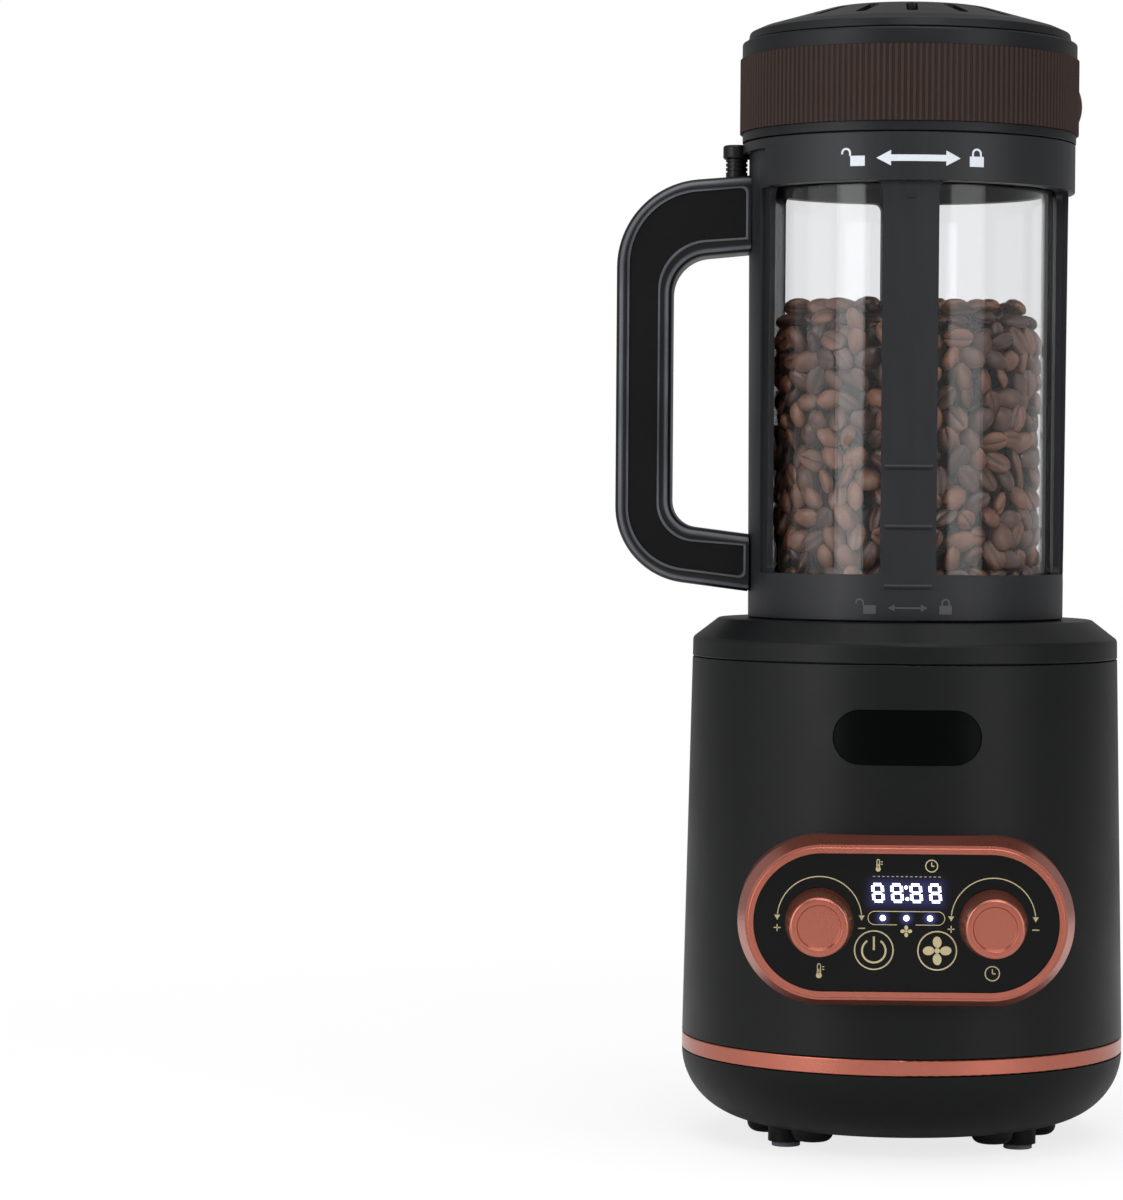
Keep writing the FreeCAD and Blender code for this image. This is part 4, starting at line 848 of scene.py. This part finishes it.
def make_cage_prints():
    top = padlock(-18.0, COLLAR_PRINT_Z, True, 5.4)
    top += double_arrow(2.3, COLLAR_PRINT_Z - 0.3, 27.6, 2.1, 5.2)
    top += padlock(21.9, COLLAR_PRINT_Z, False, 5.4)
    printed = wrap_round(merge(top), COLLAR_R * MM)
    finished(printed, "collar_print", WHITE, "jug", 0)
    low = padlock(-12.6, SKIRT_PRINT_Z, True, 4.6) + double_arrow(0.0, SKIRT_PRINT_Z - 0.4, 13.0, 0.6, 2.4)
    low += padlock(12.6, SKIRT_PRINT_Z, False, 4.6)
    raised = wrap_round(merge(low), SKIRT_R * MM)
    finished(raised, "skirt_marks", FAINT, "jug", 0)


# Beans
def pick(piece, wanted):
    """Selects the points whose place passes a test, in edit mode, and gives the lowest point's height."""
    net = bmesh.from_edit_mesh(piece.data)
    for vertex in net.verts:
        vertex.select = wanted(vertex.co)
    net.select_flush_mode()
    bmesh.update_edit_mesh(piece.data)
    return min(vertex.co.z for vertex in net.verts)


def on_flat_side(place):
    return place.z < -0.1 * BEAN_HALF[2] * MM


def beside_crease(place):
    lean = abs(place.y) / max(-place.z, 1e-9)
    return place.z < -1e-6 and 0.2 < lean < 2.5


def in_crease(place):
    return place.z < -1e-6 and abs(place.y) < CREASE_HALF_W * MM and abs(place.x) < CREASE_HALF_L * MM


def one_bean():
    """A bean of a few dozen faces: a squashed ball with a flat side and a crease along it."""
    centre = (0.0, 0.0, 0.0)
    on_side = (0.0, math.radians(90), 0.0)
    fresh()
    bpy.ops.mesh.primitive_uv_sphere_add(segments=12, ring_count=7, radius=1.0, rotation=on_side)
    bean = settle(bpy.context.object)
    bpy.ops.object.mode_set(mode="EDIT")
    bpy.ops.mesh.select_all(action="SELECT")
    bpy.ops.transform.resize(value=tuple(size * MM for size in BEAN_HALF))
    pick(bean, on_flat_side)
    bpy.ops.transform.resize(value=(1.0, 1.0, 0.62), center_override=centre)
    pick(bean, beside_crease)
    bpy.ops.transform.resize(value=(1.0, 0.36, 1.0), center_override=centre)
    lowest = pick(bean, in_crease)
    bpy.ops.transform.translate(value=(0.0, 0.0, -lowest * 0.45))
    bpy.ops.object.mode_set(mode="OBJECT")
    outward(bean)
    # Marks the crease's points, which the bean material darkens as painted shade.
    marks = []
    for vertex in bean.data.vertices:
        crease_shaded = vertex.co.z < 0.1 * MM and abs(vertex.co.y) < CREASE_HALF_W * MM
        marks.append(1.0 if crease_shaded else 0.0)
    crease_shade = bean.data.attributes.new("crease_shade", "FLOAT", "POINT")
    crease_shade.data.foreach_set("value", marks)
    return bean


def pushed_apart(points):
    """Moves crowded points away from one another and keeps them within the glass and the heap."""
    for _ in range(PUSH_ROUNDS):
        gaps = points[:, None, :] - points[None, :, :]
        length = np.sqrt((gaps ** 2).sum(2)) + 1e-6
        push = np.clip(BEAN_GAP - length, 0.0, None) * (length < BEAN_GAP)
        np.fill_diagonal(push, 0.0)
        points += PUSH_SHARE * (gaps / length[:, :, None] * push[:, :, None]).sum(1)
        reach = np.hypot(points[:, 0], points[:, 1])
        keep = np.minimum(1.0, (BEAN_WALL_R - 3.1) / np.maximum(reach, 1e-6))
        points[:, :2] *= keep[:, None]
        points[:, 2] = np.clip(points[:, 2], BEAN_FLOOR_Z + 2.8, BEAN_TOP_Z + 2.6)
    return points


def bean_places():
    """Where the beans lie: two rounds by the glass and two loose layers on top, pushed apart a little."""
    draw = random.Random(BEAN_SEED)
    places = []
    for inset, pitch, rise in BEAN_ROUNDS:
        radius = BEAN_WALL_R - inset
        around = int(2 * math.pi * radius / pitch)
        rows = int((BEAN_TOP_Z - BEAN_FLOOR_Z) / rise)
        for row in range(rows):
            for i in range(around):
                angle = 2 * math.pi * (i + 0.5 * (row % 2) + draw.uniform(-0.3, 0.3)) / around
                z = BEAN_FLOOR_Z + rise * (row + 0.5) + draw.uniform(-1.6, 1.6)
                near = radius + draw.uniform(-1.2, 0.3)
                places.append([near * math.cos(angle), near * math.sin(angle), z])
    for layer in range(2):
        for i in range(BEANS_ON_TOP):
            reach = (BEAN_WALL_R - 5.0) * math.sqrt((i + 0.5) / BEANS_ON_TOP)
            angle = GOLDEN_ANGLE * i + layer
            z = BEAN_TOP_Z - 2.6 + 4.2 * layer + draw.uniform(-1.0, 1.0)
            places.append([reach * math.cos(angle), reach * math.sin(angle), z])
    return pushed_apart(np.array(places))


def bean_turn(draw, x, y, near_wall):
    """A bean by the glass lies flat to it, with its crease or its back showing; the others lie any way."""
    full_turn = 6.28
    if not near_wall:
        heading = Matrix.Rotation(draw.uniform(0, full_turn), 4, "Z")
        return heading @ Matrix.Rotation(draw.uniform(-0.9, 0.9), 4, "X")
    facing = draw.choice((90.0, -90.0))
    flat = Matrix.Rotation(math.radians(facing), 4, "Y")
    roll = Matrix.Rotation(draw.uniform(0, full_turn), 4, "X")
    nod = Matrix.Rotation(draw.uniform(-0.55, 0.55), 4, "Y")
    swing = Matrix.Rotation(draw.uniform(-0.7, 0.7), 4, "Z")
    return Matrix.Rotation(math.atan2(y, x), 4, "Z") @ nod @ swing @ roll @ flat


def make_bean_fill():
    """The heap: every bean a copy of one pattern, with its own size, turn and tone, joined as one piece."""
    draw = random.Random(BEAN_SEED + 1)
    pattern = one_bean()
    fresh()
    beans = []
    for x, y, z in bean_places():
        copy = pattern.copy()
        copy.data = pattern.data.copy()
        near_wall = math.hypot(x, y) > 30.0 and z < BEAN_TOP_Z - 3.0
        size = draw.uniform(0.86, 1.08)
        turn = bean_turn(draw, x, y, near_wall)
        copy.data.transform(Matrix.Translation((x * MM, y * MM, z * MM)) @ turn @ Matrix.Scale(size, 4))
        tone = copy.data.attributes.new("tone", "FLOAT", "POINT")
        tone.data.foreach_set("value", [draw.uniform(0.0, 1.0)] * len(copy.data.vertices))
        bpy.context.scene.collection.objects.link(copy)
        beans.append(copy)
    bpy.data.objects.remove(pattern)
    heap = finished(merge(beans), "bean_fill", BEAN, "jug", 0)
    for face in heap.data.polygons:
        face.use_smooth = True


def make_shade_core():
    """A dark body in the middle of the heap, where no bean shows, standing in as painted shade for the
    shadow there.
    """
    fresh()
    tall = (BEAN_TOP_Z - 6.0 - BEAN_FLOOR_Z) * MM
    middle = (0.0, 0.0, BEAN_FLOOR_Z * MM + tall / 2)
    bpy.ops.mesh.primitive_cylinder_add(vertices=48, radius=CORE_R * MM, depth=tall, location=middle)
    core = settle(bpy.context.object)
    bpy.ops.object.mode_set(mode="EDIT")
    bpy.ops.mesh.select_all(action="SELECT")
    bpy.ops.mesh.bevel(offset=2.0 * MM, segments=3)
    bpy.ops.object.mode_set(mode="OBJECT")
    finished(core, "shade_core", CORE_SHADE, "jug", 40)


# Stage
def floor_material():
    """Pale matte floor that takes the shadow near the roaster and fades to plain white away from it."""
    made = Finish("pale_floor")
    matte = made.node("ShaderNodeBsdfDiffuse", None, {"Color": (0.93, 0.93, 0.93, 1.0)})
    white = made.node("ShaderNodeEmission", None, {"Color": (1.0, 1.0, 1.0, 1.0), "Strength": 1.0})
    path = made.node("ShaderNodeLightPath", out="Is Camera Ray")
    x, y, _ = made.axes()
    far = made.spread((x * x + y * y) ** 0.5, 0.1, 0.6, 0.78, 1.0)
    made.to_surface(made.node("ShaderNodeMixShader", None, {0: path * far, 1: matte, 2: white}))
    return made.material


def make_floor():
    fresh()
    bpy.ops.mesh.primitive_plane_add(size=FLOOR_SIZE, location=(0.0, 0.0, -FLOOR_GAP))
    floor = bpy.context.object
    floor.name = "floor"
    floor.data.materials.append(floor_material())


def make_surroundings():
    """White to the camera and through glass, dim to matte surfaces and a little brighter to shiny ones."""
    world = bpy.data.worlds.new("studio")
    bpy.context.scene.world = world
    world.use_nodes = True
    tree = world.node_tree
    tree.nodes.clear()
    path = tree.nodes.new("ShaderNodeLightPath")
    seen = tree.nodes.new("ShaderNodeMath")
    seen.operation = "MAXIMUM"
    tree.links.new(path.outputs["Is Camera Ray"], seen.inputs[0])
    tree.links.new(path.outputs["Is Transmission Ray"], seen.inputs[1])
    shiny = tree.nodes.new("ShaderNodeMath")
    shiny.operation = "MULTIPLY_ADD"
    shiny.inputs[1].default_value = EXTRA_FOR_SHINY
    tree.links.new(path.outputs["Is Glossy Ray"], shiny.inputs[0])
    tree.links.new(seen.outputs[0], shiny.inputs[2])
    strength = tree.nodes.new("ShaderNodeMapRange")
    strength.inputs["To Min"].default_value = WHITE_FOR_MATTE
    strength.inputs["To Max"].default_value = 1.0
    tree.links.new(shiny.outputs[0], strength.inputs["Value"])
    sky = tree.nodes.new("ShaderNodeBackground")
    sky.inputs["Color"].default_value = (1.0, 1.0, 1.0, 1.0)
    tree.links.new(strength.outputs[0], sky.inputs["Strength"])
    out = tree.nodes.new("ShaderNodeOutputWorld")
    tree.links.new(sky.outputs[0], out.inputs["Surface"])


def softbox(name, place, size, power):
    """A rectangular lamp that looks at the middle of the object."""
    light = bpy.data.lights.new(name, "AREA")
    light.shape = "RECTANGLE"
    light.size = size[0]
    light.size_y = size[1]
    light.energy = power
    lamp = bpy.data.objects.new(name, light)
    bpy.context.scene.collection.objects.link(lamp)
    lamp.location = place
    aim = Vector((0.0, 0.0, 0.19)) - Vector(place)
    lamp.rotation_euler = aim.to_track_quat("-Z", "Y").to_euler()


def make_lights():
    for name, place, size, power in LAMPS:
        softbox(name, place, size, power)


def make_camera():
    """The camera of the photograph: swung a little aside, with its lens shifted back to match."""
    camera = bpy.data.cameras.new("camera")
    camera.lens = CAMERA_LENS
    camera.sensor_width = 36.0
    camera.shift_x = SIDE_SHIFT
    camera.clip_start = 0.05
    camera.clip_end = 60.0
    holder = bpy.data.objects.new("camera", camera)
    bpy.context.scene.collection.objects.link(holder)
    round_z = math.radians(CAMERA_AZIMUTH)
    across = CAMERA_DISTANCE * math.sin(round_z)
    back = CAMERA_DISTANCE * math.cos(round_z)
    place = Vector((across, -back, CAMERA_HEIGHT))
    turn = Matrix.Rotation(round_z + math.radians(SIDE_YAW), 4, "Z")
    tip = Matrix.Rotation(math.radians(90.0 - CAMERA_PITCH), 4, "X")
    roll = Matrix.Rotation(math.radians(CAMERA_ROLL), 4, "Z")
    holder.matrix_world = Matrix.Translation(place) @ turn @ tip @ roll
    bpy.context.scene.camera = holder


make_camera()
dress_nodes()
make_display()
make_panel_print()
make_cage_prints()
make_bean_fill()
make_shade_core()
make_floor()
make_surroundings()
make_lights()
bpy.context.scene.view_settings.view_transform = "Standard"
